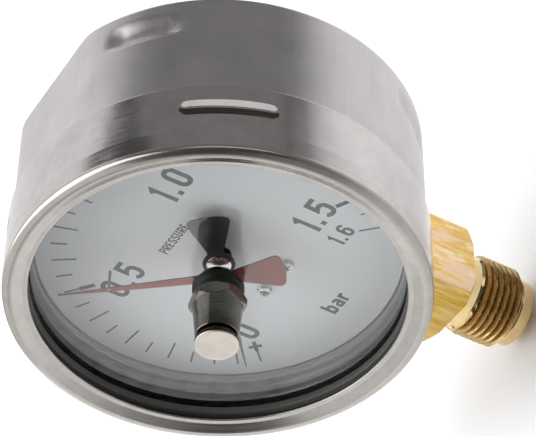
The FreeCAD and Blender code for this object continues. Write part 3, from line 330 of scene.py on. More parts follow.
def dial_enamel():
    """Matt white enamel of the dial with a cool tone and a very fine grain."""
    surface = Surface("dial_enamel", (0.78, 0.78, 0.81), 0.0, 0.5)
    clouds = surface.noise(0.05, detail=3.0)
    grain = surface.noise(4.0, detail=2.0)
    surface.color(clouds, (0.765, 0.765, 0.8), (0.79, 0.79, 0.82))
    surface.rough(grain, 0.42, 0.55)
    surface.bump(grain, 0.002)
    return surface.material


def printed_ink():
    surface = Surface("printed_ink", (0.05, 0.052, 0.058), 0.0, 0.5)
    grain = surface.noise(6.0, detail=3.0)
    surface.color(grain, (0.048, 0.05, 0.056), (0.075, 0.077, 0.083), 0.6)
    surface.rough(grain, 0.4, 0.6)
    return surface.material


def window_glass():
    """Clear flat window, drawn without refraction: both its faces let light through and mirror a
    share of it that grows towards grazing view."""
    surface = Surface("window_glass", (1, 1, 1), 0.0, 0.0)
    clear = surface.node("ShaderNodeBsdfTransparent", Color=(0.975, 0.985, 0.982, 1))
    gloss = surface.node("ShaderNodeBsdfGlossy", Color=(1, 1, 1, 1))
    smear = surface.noise(0.05, detail=3.0)
    surface.put(gloss.inputs["Roughness"], surface.rescaled(smear, 0.0, 0.03))
    facing = surface.node("ShaderNodeLayerWeight").outputs["Facing"]
    grazing = surface.node("ShaderNodeMath", {"operation": "POWER"})
    surface.put(grazing.inputs[0], facing)
    grazing.inputs[1].default_value = 4.0
    share = surface.rescaled(grazing.outputs["Value"], 0.045, 1.0, 0.0, 1.0)
    mix = surface.node("ShaderNodeMixShader", Fac=share)
    surface.tree.links.new(clear.outputs[0], mix.inputs[1])
    surface.tree.links.new(gloss.outputs[0], mix.inputs[2])
    output = surface.tree.nodes["Material Output"]
    surface.tree.links.new(mix.outputs[0], output.inputs["Surface"])
    surface.tree.nodes.remove(surface.shader)
    return surface.material


def backdrop_paper():
    """Studio paper with a painted pool of light: pale up to PAPER_EDGE from PAPER_CENTRE, and grey
    beyond.
    """
    surface = Surface("backdrop_paper", PAPER_PALE, 0.0, 0.8)
    offset = surface.node("ShaderNodeVectorMath", {"operation": "SUBTRACT"})
    surface.put(offset.inputs[0], surface.places.outputs["Object"])
    offset.inputs[1].default_value = PAPER_CENTRE
    away = surface.node("ShaderNodeVectorMath", {"operation": "LENGTH"})
    surface.put(away.inputs[0], offset.outputs["Vector"])
    surface.color(away.outputs["Value"], PAPER_PALE, PAPER_GREY, 1.0,
                  PAPER_EDGE, PAPER_EDGE + PAPER_FADE)
    return surface.material


# The neck, groove, lip, square's front and knob's edge are painted a darker metal of their own,
# as a painted dark reflection, because the studio has no dark surroundings for them to mirror.
CASE_STEEL = case_steel()
NECK_PAINTED_REFLECTION = turned_metal("neck_steel_painted_reflection", (0.3, 0.295, 0.28), 0.24, 0.006, 1.5)
RING_STEEL = ring_steel()
GROOVE_SHADE = turned_metal("ring_groove_painted_reflection", (0.1, 0.093, 0.08), 0.25)
LIP_PAINTED_REFLECTION = turned_metal("ring_lip_painted_reflection", (0.43, 0.41, 0.385), 0.24, 0.008, 1.5)
BRASS_BLOCK = milled_brass("milled_brass", (0.88, 0.62, 0.24), (0.68, 0.42, 0.12), 0.85)
BRASS_FRONT_PAINTED_REFLECTION = milled_brass("milled_brass_front_painted_reflection", (0.56, 0.38, 0.085), (0.36, 0.22, 0.035), 0.15)
BRASS_TURNED = turned_brass("turned_brass", (0.85, 0.66, 0.34), (0.7, 0.48, 0.24), 0.1, 0.003)
BRASS_THREAD = turned_brass("thread_brass", (0.62, 0.44, 0.2), (0.42, 0.27, 0.11), 0.2, 0.012)
BRASS_SHEET = sheet_metal("movement_brass", (0.78, 0.6, 0.3), 0.3)
TUBE_BRONZE = sheet_metal("tube_bronze", (0.74, 0.5, 0.3), 0.32)
SPRING_METAL = sheet_metal("spring_metal", (0.6, 0.56, 0.46), 0.28)
SCREW_STEEL = turned_metal("screw_steel", (0.6, 0.59, 0.57), 0.16)
BRIGHT_METAL = turned_metal("bright_metal", (0.82, 0.8, 0.78), 0.12)
KNOB_FACE = turned_metal("knob_metal", (0.6, 0.555, 0.5), 0.34, 0.02, 1.5)
KNOB_EDGE_PAINTED_REFLECTION = turned_metal("knob_edge_painted_reflection", (0.24, 0.19, 0.15), 0.3, 0.006, 1.5)
NUT_METAL = turned_metal("nut_metal", (0.23, 0.22, 0.195), 0.15, 0.03, 2.5)
RUBBER = rubber()
BLACK_PAINT = painted("black_paint", (0.016, 0.016, 0.017), 0.38, 0.6)
WASHER = painted("washer_rubber", (0.006, 0.006, 0.005), 0.4, 0.3)
# Painted shade: the pointers' cut edges are drawn dark for the shade along them.
EDGE_PAINTED_SHADE = painted("cut_edge_painted_shade", (0.03, 0.028, 0.02), 0.4)
# Painted light: the window gasket is a lighter grey copy of the black rubber, for light the lamps
# don't bring to it.
GASKET = painted("gasket_rubber", (0.06, 0.06, 0.057), 0.5)
RED_PAINT = painted("red_paint", (0.28, 0.045, 0.03), 0.5, 0.2)
DIAL_WHITE = dial_enamel()
INK = printed_ink()
GLASS = window_glass()


# ---- Mesh helpers ----

SHARP = 40.0                  # an edge turned by more than this many degrees stays sharp
RIM_ANGLE = 1.2               # radians between a sheet's side and its edge, at least


def on_circle(radius, degrees, centre=(0.0, 0.0)):
    angle = math.radians(degrees)
    return (centre[0] + radius * math.cos(angle), centre[1] + radius * math.sin(angle))


def arc(centre, radius, start, stop, steps=8):
    """Points of a circular arc, from start to stop degrees."""
    return [on_circle(radius, start + (stop - start) * step / steps, centre)
            for step in range(steps + 1)]


def bend(start, corner, stop, steps=5):
    """Points of a parabola that rounds a corner from start to stop."""
    points = []
    for step in range(steps + 1):
        share = step / steps
        first = Vector(start).lerp(Vector(corner), share)
        second = Vector(corner).lerp(Vector(stop), share)
        points.append(tuple(first.lerp(second, share)))
    return points


def rounded(corners, closed=True, steps=4):
    """Outline from (radius, height, rounding) corners, with each rounding as an arc.

    A point close to each end of an arc keeps the flats beside it flat when shaded smooth.
    """
    outline = []
    count = len(corners)
    for number, (x, y, size) in enumerate(corners):
        here = Vector((x, y))
        if size == 0 or (not closed and number in (0, count - 1)):
            outline.append((x, y))
            continue
        back = Vector(corners[number - 1][:2]) - here
        ahead = Vector(corners[(number + 1) % count][:2]) - here
        half = back.angle(ahead) / 2
        reach = size / math.tan(half)
        reach = min(reach, 0.48 * back.length, 0.48 * ahead.length)
        size = reach * math.tan(half)
        centre = here + (back.normalized() + ahead.normalized()).normalized() * size / math.sin(half)
        first = here + back.normalized() * reach
        last = here + ahead.normalized() * reach
        margin_back = min(0.3 * size, 0.5 * back.length - reach)
        margin_ahead = min(0.3 * size, 0.5 * ahead.length - reach)
        if margin_back > 0.01:
            outline.append(tuple(first + back.normalized() * margin_back))
        start = first - centre
        sweep = start.angle_signed(last - centre)
        for step in range(steps + 1):
            turned_by = Matrix.Rotation(-sweep * step / steps, 2)
            outline.append(tuple(centre + turned_by @ start))
        if margin_ahead > 0.01:
            outline.append(tuple(last + ahead.normalized() * margin_ahead))
    return outline


def stepped(low, high, steps):
    """Evenly spaced values from low to high, both included."""
    return [low + (high - low) * step / steps for step in range(steps + 1)]


def added_object(name, data):
    """A new object of the scene."""
    thing = bpy.data.objects.new(name, data)
    bpy.context.scene.collection.objects.link(thing)
    return thing


def piece_from(name, verts, faces, place=FACE, uvs=None, sharp=SHARP):
    """A smooth-shaded object from millimetre points. Edges turned by more than sharp stay sharp."""
    mesh = bpy.data.meshes.new(name)
    mesh.from_pydata([tuple(place @ Vector(vert)) for vert in verts], [], faces)
    if uvs:
        layer = mesh.uv_layers.new(name="surface")
        layer.data.foreach_set("uv", [value for face in uvs for corner in face for value in corner])
    mesh.update()
    piece = added_object(name, mesh)
    tidy(piece, sharp)
    return piece


def piece_of(name, work, place):
    """A smooth-shaded object from a bmesh in millimetres."""
    work.transform(place)
    mesh = bpy.data.meshes.new(name)
    work.to_mesh(mesh)
    work.free()
    piece = added_object(name, mesh)
    tidy(piece)
    return piece


def tidy(piece, sharp=SHARP):
    """Weld, drop flat faces, turn the faces outwards and shade smooth between sharp edges."""
    work = bmesh.new()
    work.from_mesh(piece.data)
    bmesh.ops.remove_doubles(work, verts=work.verts, dist=2e-7)
    bmesh.ops.dissolve_degenerate(work, edges=work.edges, dist=1e-7)
    bmesh.ops.recalc_face_normals(work, faces=work.faces)
    work.to_mesh(piece.data)
    work.free()
    piece.data.shade_smooth()
    piece.data.set_sharp_from_angle(angle=math.radians(sharp))


def turned(name, outline, steps=192, closed=False, shape=None, place=FACE, sharp=SHARP,
           start=0.0, sweep=360.0):
    """A piece turned about the height axis from (radius, height) points.

    closed joins the last point to the first. shape(radius, height, angle) may move a point.
    The UV map runs round the axis in U and along the outline in V, in millimetres.
    """
    whole = abs(sweep - 360.0) < 1e-6
    columns = steps if whole else steps + 1
    size = len(outline)
    widest = max(radius for radius, height in outline)
    along = [0.0]
    for first, second in zip(outline, outline[1:] + outline[:1]):
        along.append(along[-1] + math.dist(first, second))
    verts = []
    for column in range(columns):
        angle = math.radians(start + sweep * column / steps)
        for radius, height in outline:
            if shape:
                radius, height = shape(radius, height, angle)
            verts.append((radius * math.cos(angle), radius * math.sin(angle), height))
    faces = []
    uvs = []
    arc_step = widest * math.radians(sweep) / steps
    for column in range(steps):
        this = column * size
        other = ((column + 1) % columns) * size
        for row in range(size if closed else size - 1):
            ahead = (row + 1) % size
            faces.append((this + row, other + row, other + ahead, this + ahead))
            left, right = column * arc_step, (column + 1) * arc_step
            uvs.append(((left, along[row]), (right, along[row]),
                        (right, along[row + 1]), (left, along[row + 1])))
    if not whole:
        for column in (0, steps):
            faces.append(tuple(column * size + row for row in range(size)))
            uvs.append(tuple((radius, height) for radius, height in outline))
    return piece_from(name, verts, faces, place, uvs, sharp)


def sheet(name, loops, low, high, edge, place):
    """A flat sheet from an outer outline and its holes, with its rims broken by edge."""
    work = bmesh.new()
    for loop in loops:
        ring = [work.verts.new((x, y, low)) for x, y in loop]
        for first, second in zip(ring, ring[1:] + ring[:1]):
            work.edges.new((first, second))
    bmesh.ops.triangle_fill(work, edges=work.edges[:], use_beauty=True)
    lifted = bmesh.ops.extrude_face_region(work, geom=work.faces[:])
    top = [part for part in lifted["geom"] if isinstance(part, bmesh.types.BMVert)]
    bmesh.ops.translate(work, verts=top, vec=(0, 0, high - low))
    bmesh.ops.recalc_face_normals(work, faces=work.faces)
    rims = [part for part in work.edges
            if len(part.link_faces) == 2 and part.calc_face_angle() > RIM_ANGLE]
    bmesh.ops.bevel(work, geom=rims, offset=edge, segments=2, profile=0.6, affect="EDGES")
    return piece_of(name, work, place)


def block(name, low, high, rounding):
    """A box with rounded edges between two corners of the row frame."""
    work = bmesh.new()
    bmesh.ops.create_cube(work, size=1.0)
    low, high = Vector(low), Vector(high)
    size = high - low
    bmesh.ops.scale(work, verts=work.verts, vec=size)
    bmesh.ops.translate(work, verts=work.verts, vec=(low + high) / 2)
    bmesh.ops.bevel(work, geom=work.edges[:], offset=rounding, segments=3, profile=0.5, affect="EDGES")
    return piece_of(name, work, ROW)


def cut_out(piece, tool):
    """Cut tool out of piece, and throw the tool away."""
    modifier = piece.modifiers.new("cut_out", "BOOLEAN")
    modifier.operation = "DIFFERENCE"
    modifier.solver = "EXACT"
    modifier.object = tool
    bpy.context.view_layer.update()
    graph = bpy.context.evaluated_depsgraph_get()
    mesh = bpy.data.meshes.new_from_object(piece.evaluated_get(graph), depsgraph=graph)
    piece.modifiers.clear()
    old = piece.data
    piece.data = mesh
    mesh.name = piece.name
    bpy.data.meshes.remove(old)
    bpy.data.objects.remove(tool)
    piece.data.set_sharp_from_angle(angle=math.radians(SHARP))


def finish_piece(piece, material, body, slot, *nodes):
    """Give a piece its material and its body, and hide the CAD nodes that it stands for; slot is not
    used.
    """
    piece.data.materials.clear()
    piece.data.materials.append(material)
    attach(piece, body)
    if nodes:
        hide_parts(*nodes)


def refinish(piece, material, chosen):
    """Give another material to each face for which chosen(face) is true."""
    number = len(piece.data.materials)
    piece.data.materials.append(material)
    for face in piece.data.polygons:
        if chosen(face):
            face.material_index = number


def face_height(face):
    """Height of a face's centre over the printed face of the dial, in millimetres."""
    return (INTO_FACE @ face.center).z


def off_centre(degrees, centres):
    """Degrees to the nearest of centres, round the circle."""
    return min(abs((degrees - centre + 180) % 360 - 180) for centre in centres)


def smooth_step(value, start, stop):
    share = min(1.0, max(0.0, (value - start) / (stop - start)))
    return share * share * (3 - 2 * share)


def soft_min(first, second, softness):
    """The smaller of two values, rounded off where they cross."""
    gap = max(0.0, softness - abs(first - second)) / softness
    return min(first, second) - gap * gap * softness / 4


# ---- Case ----

FLAT_START = -5.8             # height behind the ring where the round case starts to be pressed flat
FLAT_END = -9.0               # height from which the flats are full
NECK_BEAD = 43.85             # inner radius of the bead rolled into the neck
NECK_START = -0.5             # height from which the sheet is turned smooth and painted darker, as a dark reflection
POCKET_CENTRES = (51.3, 141.3, 231.3, 321.3)
POCKET_HALF = 12.9            # half the span of a pressed pocket, degrees
POCKET_FRONT = -23.8
POCKET_REAR = -32.6
POCKET_DEPTH = 0.9
POCKET_END_SLOPE = 6.0        # lengths over which a pocket reaches its depth
POCKET_FRONT_SLOPE = 2.2
POCKET_REAR_SLOPE = 5.6
RIM_INSET = 0.3               # window's edge to the edge of the rim it rests on
BACK_SUNK = 0.5               # depth of the plain middle of the back
OPENING_HALF = 12.0           # half the square opening for the stem
OPENING_LEVELS = (37.0, 47.0)  # from below the case to inside it, over the sealing face
VENT_RADIUS = 6.5
PLUG_NECK = 6.45              # groove of the plug, in which the edge of the vent sits
SEAL_GAP = 0.03


def pocket_depth(height, degrees):
    """How far a pressed pocket pulls the wall in: steep at its front side, gentle at its rear."""
    along = (POCKET_HALF - off_centre(degrees, POCKET_CENTRES)) * CASE_RADIUS * math.pi / 180
    end = smooth_step(along, 0.0, POCKET_END_SLOPE)
    front = smooth_step(POCKET_FRONT - height, 0.0, POCKET_FRONT_SLOPE)
    rear = smooth_step(height - POCKET_REAR, 0.0, POCKET_REAR_SLOPE)
    return POCKET_DEPTH * end * (front * rear)


def case_shape(radius, height, angle):
    """Press the top and bottom flats and the four pockets into the round case."""
    if height > FLAT_START or radius < 1:
        return radius, height
    flat = CASE_FLAT / CASE_RADIUS / max(abs(math.sin(angle)), 0.05)
    pressed = 1 - (1 - soft_min(1.0, flat, 0.022)) * smooth_step(-height, -FLAT_START, -FLAT_END)
    depth = pocket_depth(height, math.degrees(angle)) if radius > CASE_RADIUS - 2 else 0.0
    return radius * pressed - depth, height


def case_outline():
    """Closed section of the case's sheet: neck, shoulder, wall and back."""
    inner = CASE_RADIUS - CASE_WALL
    seat = WINDOW_LOW.z
    neck_outer = LIP_RADIUS + CASE_WALL
    rim_outer = WINDOW_HIGH.x - RIM_INSET
    sunk = CASE_BACK + BACK_SUNK
    wall_rows = stepped(-9.5, POCKET_FRONT + 0.4, 8) + stepped(POCKET_FRONT, POCKET_REAR, 22)
    shoulder = rounded([
        (LIP_RADIUS, seat, 0.3), (rim_outer, seat, 0.3), (rim_outer, seat - CASE_WALL, 0.3),
        (neck_outer, seat - CASE_WALL, 0.3), (neck_outer, -CASE_WALL, 0.4),
        (CASE_RADIUS, -CASE_WALL, 0.8), (CASE_RADIUS, -8.0, 0),
    ], closed=False)
    back_outside = rounded([
        (CASE_RADIUS, POCKET_REAR - 0.3, 0), (CASE_RADIUS, CASE_BACK, 2.6), (41.0, CASE_BACK, 0.8),
        (40.2, sunk, 0.8), (0, sunk, 0),
    ], closed=False, steps=6)
    back_inside = rounded([
        (0, sunk + CASE_WALL, 0), (inner, sunk + CASE_WALL, 1.2), (inner, POCKET_REAR - 0.3, 0),
    ], closed=False)
    front_inside = rounded([
        (inner, -9.0, 0), (inner, -2 * CASE_WALL, 0.5), (LIP_RADIUS, -2 * CASE_WALL, 0.3),
        (LIP_RADIUS, 0.1, 0.2), (NECK_BEAD, 2.4, 1.4), (LIP_RADIUS, 5.4, 2.0),
        (LIP_RADIUS, seat, 0),
    ], closed=False)
    outside = [(CASE_RADIUS, height) for height in wall_rows]
    inside = [(inner, height) for height in reversed(wall_rows)]
    return shoulder + outside + back_outside + back_inside + inside + front_inside[:-1]


def build_case():
    case = turned("case_shell", case_outline(), 720, closed=True, shape=case_shape, sharp=50)
    bottom, top = OPENING_LEVELS
    cut_out(case, block("opening", (-OPENING_HALF, -OPENING_HALF, bottom),
                        (OPENING_HALF, OPENING_HALF, top), 1.5))
    plug_low, plug_high = face_box("blow_out_plug")
    centre = (plug_low + plug_high) / 2
    place = FACE @ Matrix.Translation((centre.x, centre.y, 0))
    behind, within = CASE_BACK - 2, CASE_BACK + 4
    cut_out(case, turned("vent", [(0, behind), (VENT_RADIUS, behind), (VENT_RADIUS, within),
                                  (0, within)], 64, place=place))
    finish_piece(case, CASE_STEEL, "case", "case_steel", "case")
    # The neck's darker steel is a painted dark reflection.
    refinish(case, NECK_PAINTED_REFLECTION, lambda face: face_height(face) > NECK_START)

    lip = plug_high.x - centre.x
    outside, inside = CASE_BACK + 0.45, CASE_BACK + 1.55
    plug = turned("blow_out_plug_rubber", rounded([
        (0, CASE_BACK - 0.3, 0), (lip - 3.0, CASE_BACK - 0.3, 0.3), (lip - 2.6, plug_low.z, 0.3),
        (lip, plug_low.z, 0.5), (lip, outside, 0.3), (PLUG_NECK, outside, 0),
        (PLUG_NECK, inside, 0), (lip, inside, 0.3), (lip - 1.5, plug_high.z, 0.3),
        (0, plug_high.z, 0),
    ], closed=False), 96, place=place)
    finish_piece(plug, RUBBER, "case", "rubber", "blow_out_plug")

    low, high = (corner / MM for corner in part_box("stem_gasket"))
    half = SQUARE + SEAL_GAP
    seal = block("stem_seal", low, high, 0.5)
    cut_out(seal, block("stem_seal_hole", (-half, -half, low.z - 2), (half, half, high.z + 2), 0.3))
    finish_piece(seal, RUBBER, "case", "rubber", "stem_gasket")


# ---- Bayonet ring, window and gasket ----

WINDOW_HOLE = 3.1
GASKET_GAP = 0.1
GROOVE_CENTRES = (27.2, 117.2, 207.2, 297.2)
GROOVE_HALF = 13.6            # half the span of a pressed groove, degrees
GROOVE_LOW = -0.5
GROOVE_HIGH = 5.0
GROOVE_DEPTH = 0.55
GROOVE_SLOPE = 2.2            # width over which a groove reaches its depth
GROOVE_SHADE_START = 2.0      # height from which a groove's front side is painted dark as a reflection
GROOVE_SHADE_SUNK = (0.12, 0.8)  # how far below the wall's outside it is painted dark


def groove_shape(radius, height, angle):
    """Press the four bayonet grooves into the ring's skirt."""
    if radius < RING_RADIUS - 2 or not GROOVE_LOW < height < GROOVE_HIGH:
        return radius, height
    nearest = off_centre(math.degrees(angle), GROOVE_CENTRES)
    middle = (GROOVE_LOW + GROOVE_HIGH) / 2
    half = (GROOVE_HIGH - GROOVE_LOW) / 2
    beyond = max(0.0, (nearest - GROOVE_HALF) * RING_RADIUS * math.pi / 180 + half)
    reach = math.hypot(beyond, height - middle)
    return radius - GROOVE_DEPTH * smooth_step(half - reach, 0.0, GROOVE_SLOPE), height


def in_groove_front(face):
    """Whether a face of the ring lies on the front side of a groove, where a dark reflection is
    painted.
    """
    centre = INTO_FACE @ face.center
    sunk = RING_RADIUS - math.hypot(centre.x, centre.y)
    least, most = GROOVE_SHADE_SUNK
    return least < sunk < most and GROOVE_SHADE_START < centre.z < GROOVE_HIGH


def build_ring():
    skirt = RING_RADIUS - RING_WALL
    seat = face_box("window_gasket")[1].z + 0.05
    rows = stepped(GROOVE_LOW, GROOVE_HIGH, 18)
    outside = [(RING_RADIUS, height) for height in rows]
    inside = [(skirt, height) for height in reversed(rows)]
    front = rounded([
        (RING_RADIUS, GROOVE_HIGH + 0.4, 0), (RING_RADIUS, RING_CREASE, 1.5),
        (RING_RADIUS - 0.2, 13.6, 1.0), (RING_RADIUS - 0.15, 15.1, 1.3),
        (RING_RADIUS - 1.6, RING_FRONT, 1.2), (RING_RADIUS - 2.6, RING_FRONT, 0.8),
        (LIP_RADIUS + 2.0, 14.9, 0.5), (LIP_RADIUS + 1.4, 14.6, 0.5),
        (LIP_RADIUS + 0.1, 14.5, 0.3), (LIP_RADIUS + 0.1, 14.0, 0.2), (LIP_RADIUS + 1.3, 14.0, 0.3),
        (LIP_RADIUS + 1.7, seat, 0.2), (RING_RADIUS - 3.6, seat, 0.2),
        (RING_RADIUS - 3.2, RING_FRONT - 1.5, 0.5), (skirt - 0.6, 13.6, 1.0),
        (skirt, GROOVE_HIGH + 0.4, 0),
    ], closed=False, steps=6)
    rear = rounded([
        (skirt, GROOVE_LOW - 0.4, 0), (skirt, RING_REAR, 0.25), (RING_RADIUS, RING_REAR, 0.35),
        (RING_RADIUS, GROOVE_LOW - 0.4, 0),
    ], closed=False)
    ring = turned("bayonet_ring_shell", outside + front + inside + rear, 720, closed=True,
                  shape=groove_shape, sharp=55)
    finish_piece(ring, RING_STEEL, "bayonet_ring", "ring_steel", "bezel_ring")
    # The dark front side of each groove is a painted dark reflection.
    refinish(ring, GROOVE_SHADE, in_groove_front)
    # The ring's darker front lip is a painted dark reflection.
    refinish(ring, LIP_PAINTED_REFLECTION, lambda face: face_height(face) > LIP_START)


def build_window():
    low, high = WINDOW_LOW.z, WINDOW_HIGH.z
    outer = WINDOW_HIGH.x
    pane = turned("window_pane", rounded([
        (WINDOW_HOLE, low, 0.15), (outer, low, 0.2), (outer, high, 0.2), (WINDOW_HOLE, high, 0.15),
    ], steps=2), closed=True)
    finish_piece(pane, GLASS, "case", "window", "window")
    gasket_low, gasket_high = face_box("window_gasket")
    skirt = outer + GASKET_GAP
    inner = LIP_RADIUS + GASKET_GAP
    gasket = turned("window_gasket_rubber", rounded([
        (inner, high, 0.3), (skirt, high, 0.2), (skirt, gasket_low.z, 0.3),
        (gasket_high.x, gasket_low.z, 0.3), (gasket_high.x, gasket_high.z, 0.5),
        (inner, gasket_high.z, 0.6),
    ]), closed=True)
    # The gasket's lighter grey is painted light.
    finish_piece(gasket, GASKET, "case", "rubber", "window_gasket")


# ---- Printing on the dial ----

FULL_SCALE = 1.6
ZERO_ANGLE = 225.0
SCALE_SWEEP = 270.0
MARK_OUTER = 40.0
MARK_SHORT = 36.0
MARK_LONG = 34.0
MARK_MAJOR = 32.0
MARK_STEP = 0.05
LAST_MARK = 32                # number of the mark at full scale
MARK_WIDTH = 0.48
BAR_WIDTH = 1.15
CROSS_RADIUS = 34.3
CROSS_HALF = 1.65
CROSS_WIDTH = 1.0
PRINT_LOW = -0.02
PRINT_HIGH = 0.03

# Characters: the width and the centrelines of the strokes, in shares of the height.
NARROW = 0.175                # half the width of a round stroke's centreline
LOOPS = "0"                   # characters whose stroke is closed
GLYPHS = {
    "0": (0.51, [arc((0.255, 0.745), NARROW, 0, 180) + arc((0.255, 0.255), NARROW, 180, 360)]),
    "1": (0.22, [[(0.02, 0.78), (0.145, 0.9), (0.145, 0.0)]]),
    "5": (0.51, [[(0.45, 0.92), (0.1, 0.92), (0.085, 0.53), (0.15, 0.565)]
                 + arc((0.255, 0.425), NARROW, 90, 0) + arc((0.255, 0.255), NARROW, 0, -180)[:-1]]),
    "6": (0.51, [arc((0.255, 0.745), NARROW, 15, 180) + [(0.08, 0.3)]
                 + arc((0.255, 0.255), NARROW, 180, 360) + arc((0.255, 0.4), NARROW, 0, 165)]),
    ".": (0.18, [[(0.09, 0.0), (0.09, 0.17)]]),
    "b": (0.5, [[(0.08, 0.0), (0.08, 1.0)],
                [(0.08, 0.5)] + bend((0.2, 0.62), (0.42, 0.62), (0.42, 0.45))
                + bend((0.42, 0.25), (0.42, 0.08), (0.25, 0.08)) + [(0.08, 0.16)]]),
    "a": (0.48, [[(0.08, 0.58)] + bend((0.16, 0.62), (0.4, 0.66), (0.4, 0.45)) + [(0.4, 0.0)],
                 [(0.4, 0.37)] + bend((0.25, 0.37), (0.08, 0.37), (0.08, 0.22))
                 + bend((0.08, 0.2), (0.08, 0.08), (0.22, 0.08)) + [(0.4, 0.15)]]),
    "r": (0.34, [[(0.08, 0.0), (0.08, 0.7)],
                 [(0.08, 0.45)] + bend((0.12, 0.56), (0.18, 0.63), (0.34, 0.61))]),
    "P": (0.46, [[(0.08, 0.0), (0.08, 0.92)] + bend((0.25, 0.92), (0.42, 0.92), (0.42, 0.7))
                 + bend((0.42, 0.66), (0.42, 0.46), (0.25, 0.46)) + [(0.08, 0.46)]]),
    "E": (0.42, [[(0.4, 0.92), (0.08, 0.92), (0.08, 0.08), (0.4, 0.08)], [(0.08, 0.5), (0.34, 0.5)]]),
    "S": (0.46, [bend((0.4, 0.76), (0.4, 0.92), (0.24, 0.92))
                 + bend((0.2, 0.92), (0.07, 0.9), (0.07, 0.7))
                 + bend((0.1, 0.55), (0.25, 0.5), (0.38, 0.42))
                 + bend((0.42, 0.2), (0.4, 0.08), (0.24, 0.08))
                 + bend((0.2, 0.08), (0.06, 0.08), (0.06, 0.26))]),
    "U": (0.5, [[(0.08, 1.0)] + arc((0.25, 0.25), 0.17, 180, 360) + [(0.42, 1.0)]]),
}
GLYPHS["R"] = (0.47, GLYPHS["P"][1] + [[(0.22, 0.46), (0.43, 0.0)]])

# Text, its left and its bottom in the face frame, its height, and the width of its strokes.
NUMBERS = (
    ("0.5", -25.3, 11.75, 7.5, 1.2),
    ("1.0", 9.9, 17.3, 7.9, 1.25),
    ("1.5", 18.5, -16.2, 7.7, 1.25),
    ("1.6", 17.9, -23.5, 4.75, 0.8),
    ("0", -22.4, -22.9, 7.7, 1.2),
)


class Print:
    """Thin strokes of ink that become one piece."""

    def __init__(self):
        self.verts = []
        self.faces = []

    def stroke(self, points, width, closed=False):
        """A flat stroke of this width along the points."""
        points = [Vector(point) for point in points]
        count = len(points)
        first = len(self.verts)
        for number, here in enumerate(points):
            back = here - points[number - 1] if closed or number else points[1] - here
            ahead = points[(number + 1) % count] - here if closed or number < count - 1 else back
            back, ahead = back.normalized(), ahead.normalized()
            side = Vector((-(back + ahead).y, (back + ahead).x)).normalized()
            spread = max(0.5, side.dot(Vector((-ahead.y, ahead.x))))
            offset = side * width / 2 / spread
            for x, y in (here + offset, here - offset):
                self.verts += [(x, y, PRINT_LOW), (x, y, PRINT_HIGH)]
        for number in range(count if closed else count - 1):
            a = first + 4 * number
            b = first + 4 * ((number + 1) % count)
            self.faces += [(a + 1, a + 3, b + 3, b + 1), (a, b, b + 2, a + 2),
                           (a, a + 1, b + 1, b), (a + 2, b + 2, b + 3, a + 3)]
        if not closed:
            last = first + 4 * (count - 1)
            self.faces += [(first, first + 2, first + 3, first + 1),
                           (last, last + 1, last + 3, last + 2)]

    def words(self, text, x, y, height, width, gap=0.16):
        """Upright text from its lower left corner."""
        for character in text:
            advance, strokes = GLYPHS[character]
            for points in strokes:
                placed = [(x + px * height, y + py * height) for px, py in points]
                self.stroke(placed, width, character in LOOPS)
            x += (advance + gap) * height

    def finish(self, name):
        finish_piece(piece_from(name, self.verts, self.faces, sharp=30), INK, "case", "dial_print")


def scale_angle(value):
    return ZERO_ANGLE - SCALE_SWEEP * value / FULL_SCALE


def print_scale():
    """Marks every 0.05, longer every 0.1, stout inner bars at each 0.5, and a cross at zero."""
    marks = Print()
    for number in range(LAST_MARK + 1):
        angle = scale_angle(MARK_STEP * number)
        longer = number == LAST_MARK or number % 2 == 0 and number
        inner = MARK_LONG if longer else MARK_SHORT
        marks.stroke([on_circle(inner, angle), on_circle(MARK_OUTER, angle)], MARK_WIDTH)
        if number % 10 == 0 and number:
            marks.stroke([on_circle(MARK_MAJOR, angle), on_circle(MARK_SHORT, angle)], BAR_WIDTH)
    zero = scale_angle(0)
    centre = Vector(on_circle(CROSS_RADIUS, zero))
    across = Vector(on_circle(CROSS_HALF, zero + 90))
    marks.stroke([on_circle(32.4, zero), on_circle(36.1, zero)], CROSS_WIDTH)
    marks.stroke([centre - across, centre + across], CROSS_WIDTH)
    marks.finish("scale_marks")


def print_numbers():
    numbers = Print()
    for number in NUMBERS:
        numbers.words(*number)
    numbers.words("bar", -3.8, -34.8, 4.5, 0.85, 0.14)
    numbers.finish("scale_numbers")
    small = Print()
    small.words("PRESSURE", -6.3, 10.6, 2.4, 0.4, 0.13)
    small.finish("dial_lettering")


# ---- Pointers ----

POINTER_LENGTH = 37.9
POINTER_HALF = 1.15           # half the width of the blade beside the hub
POINTER_HUB = 3.9
POINTER_EYE = 2.2
DRAG_LENGTH = 38.8
DRAG_HALF = 1.3
DRAG_HUB = 3.0
DRAG_EYE = 1.0
DRAG_PIN = (26.4, 0.35)       # place along the blade and radius of the driver pin
TAIL_RADIUS = 16.0
TAIL_ROOT = 0.6               # half the width that the tail's straight sides would have at the axis
TAIL_SPREAD = 0.33            # growth of that half width per millimetre
TAIL_CORNER = 0.936           # share of the tail's radius at which its corner lies
CORNER_CUT = 1.6              # length of the tail's side that the rounded corner takes
CORNER_SPAN = 6.0             # and degrees of the tail's arc
TIP_HALF = 0.1                # half the width of both pointers' tips
EDGE_BREAK = 0.07


def tail_half(x):
    return TAIL_ROOT + TAIL_SPREAD * x


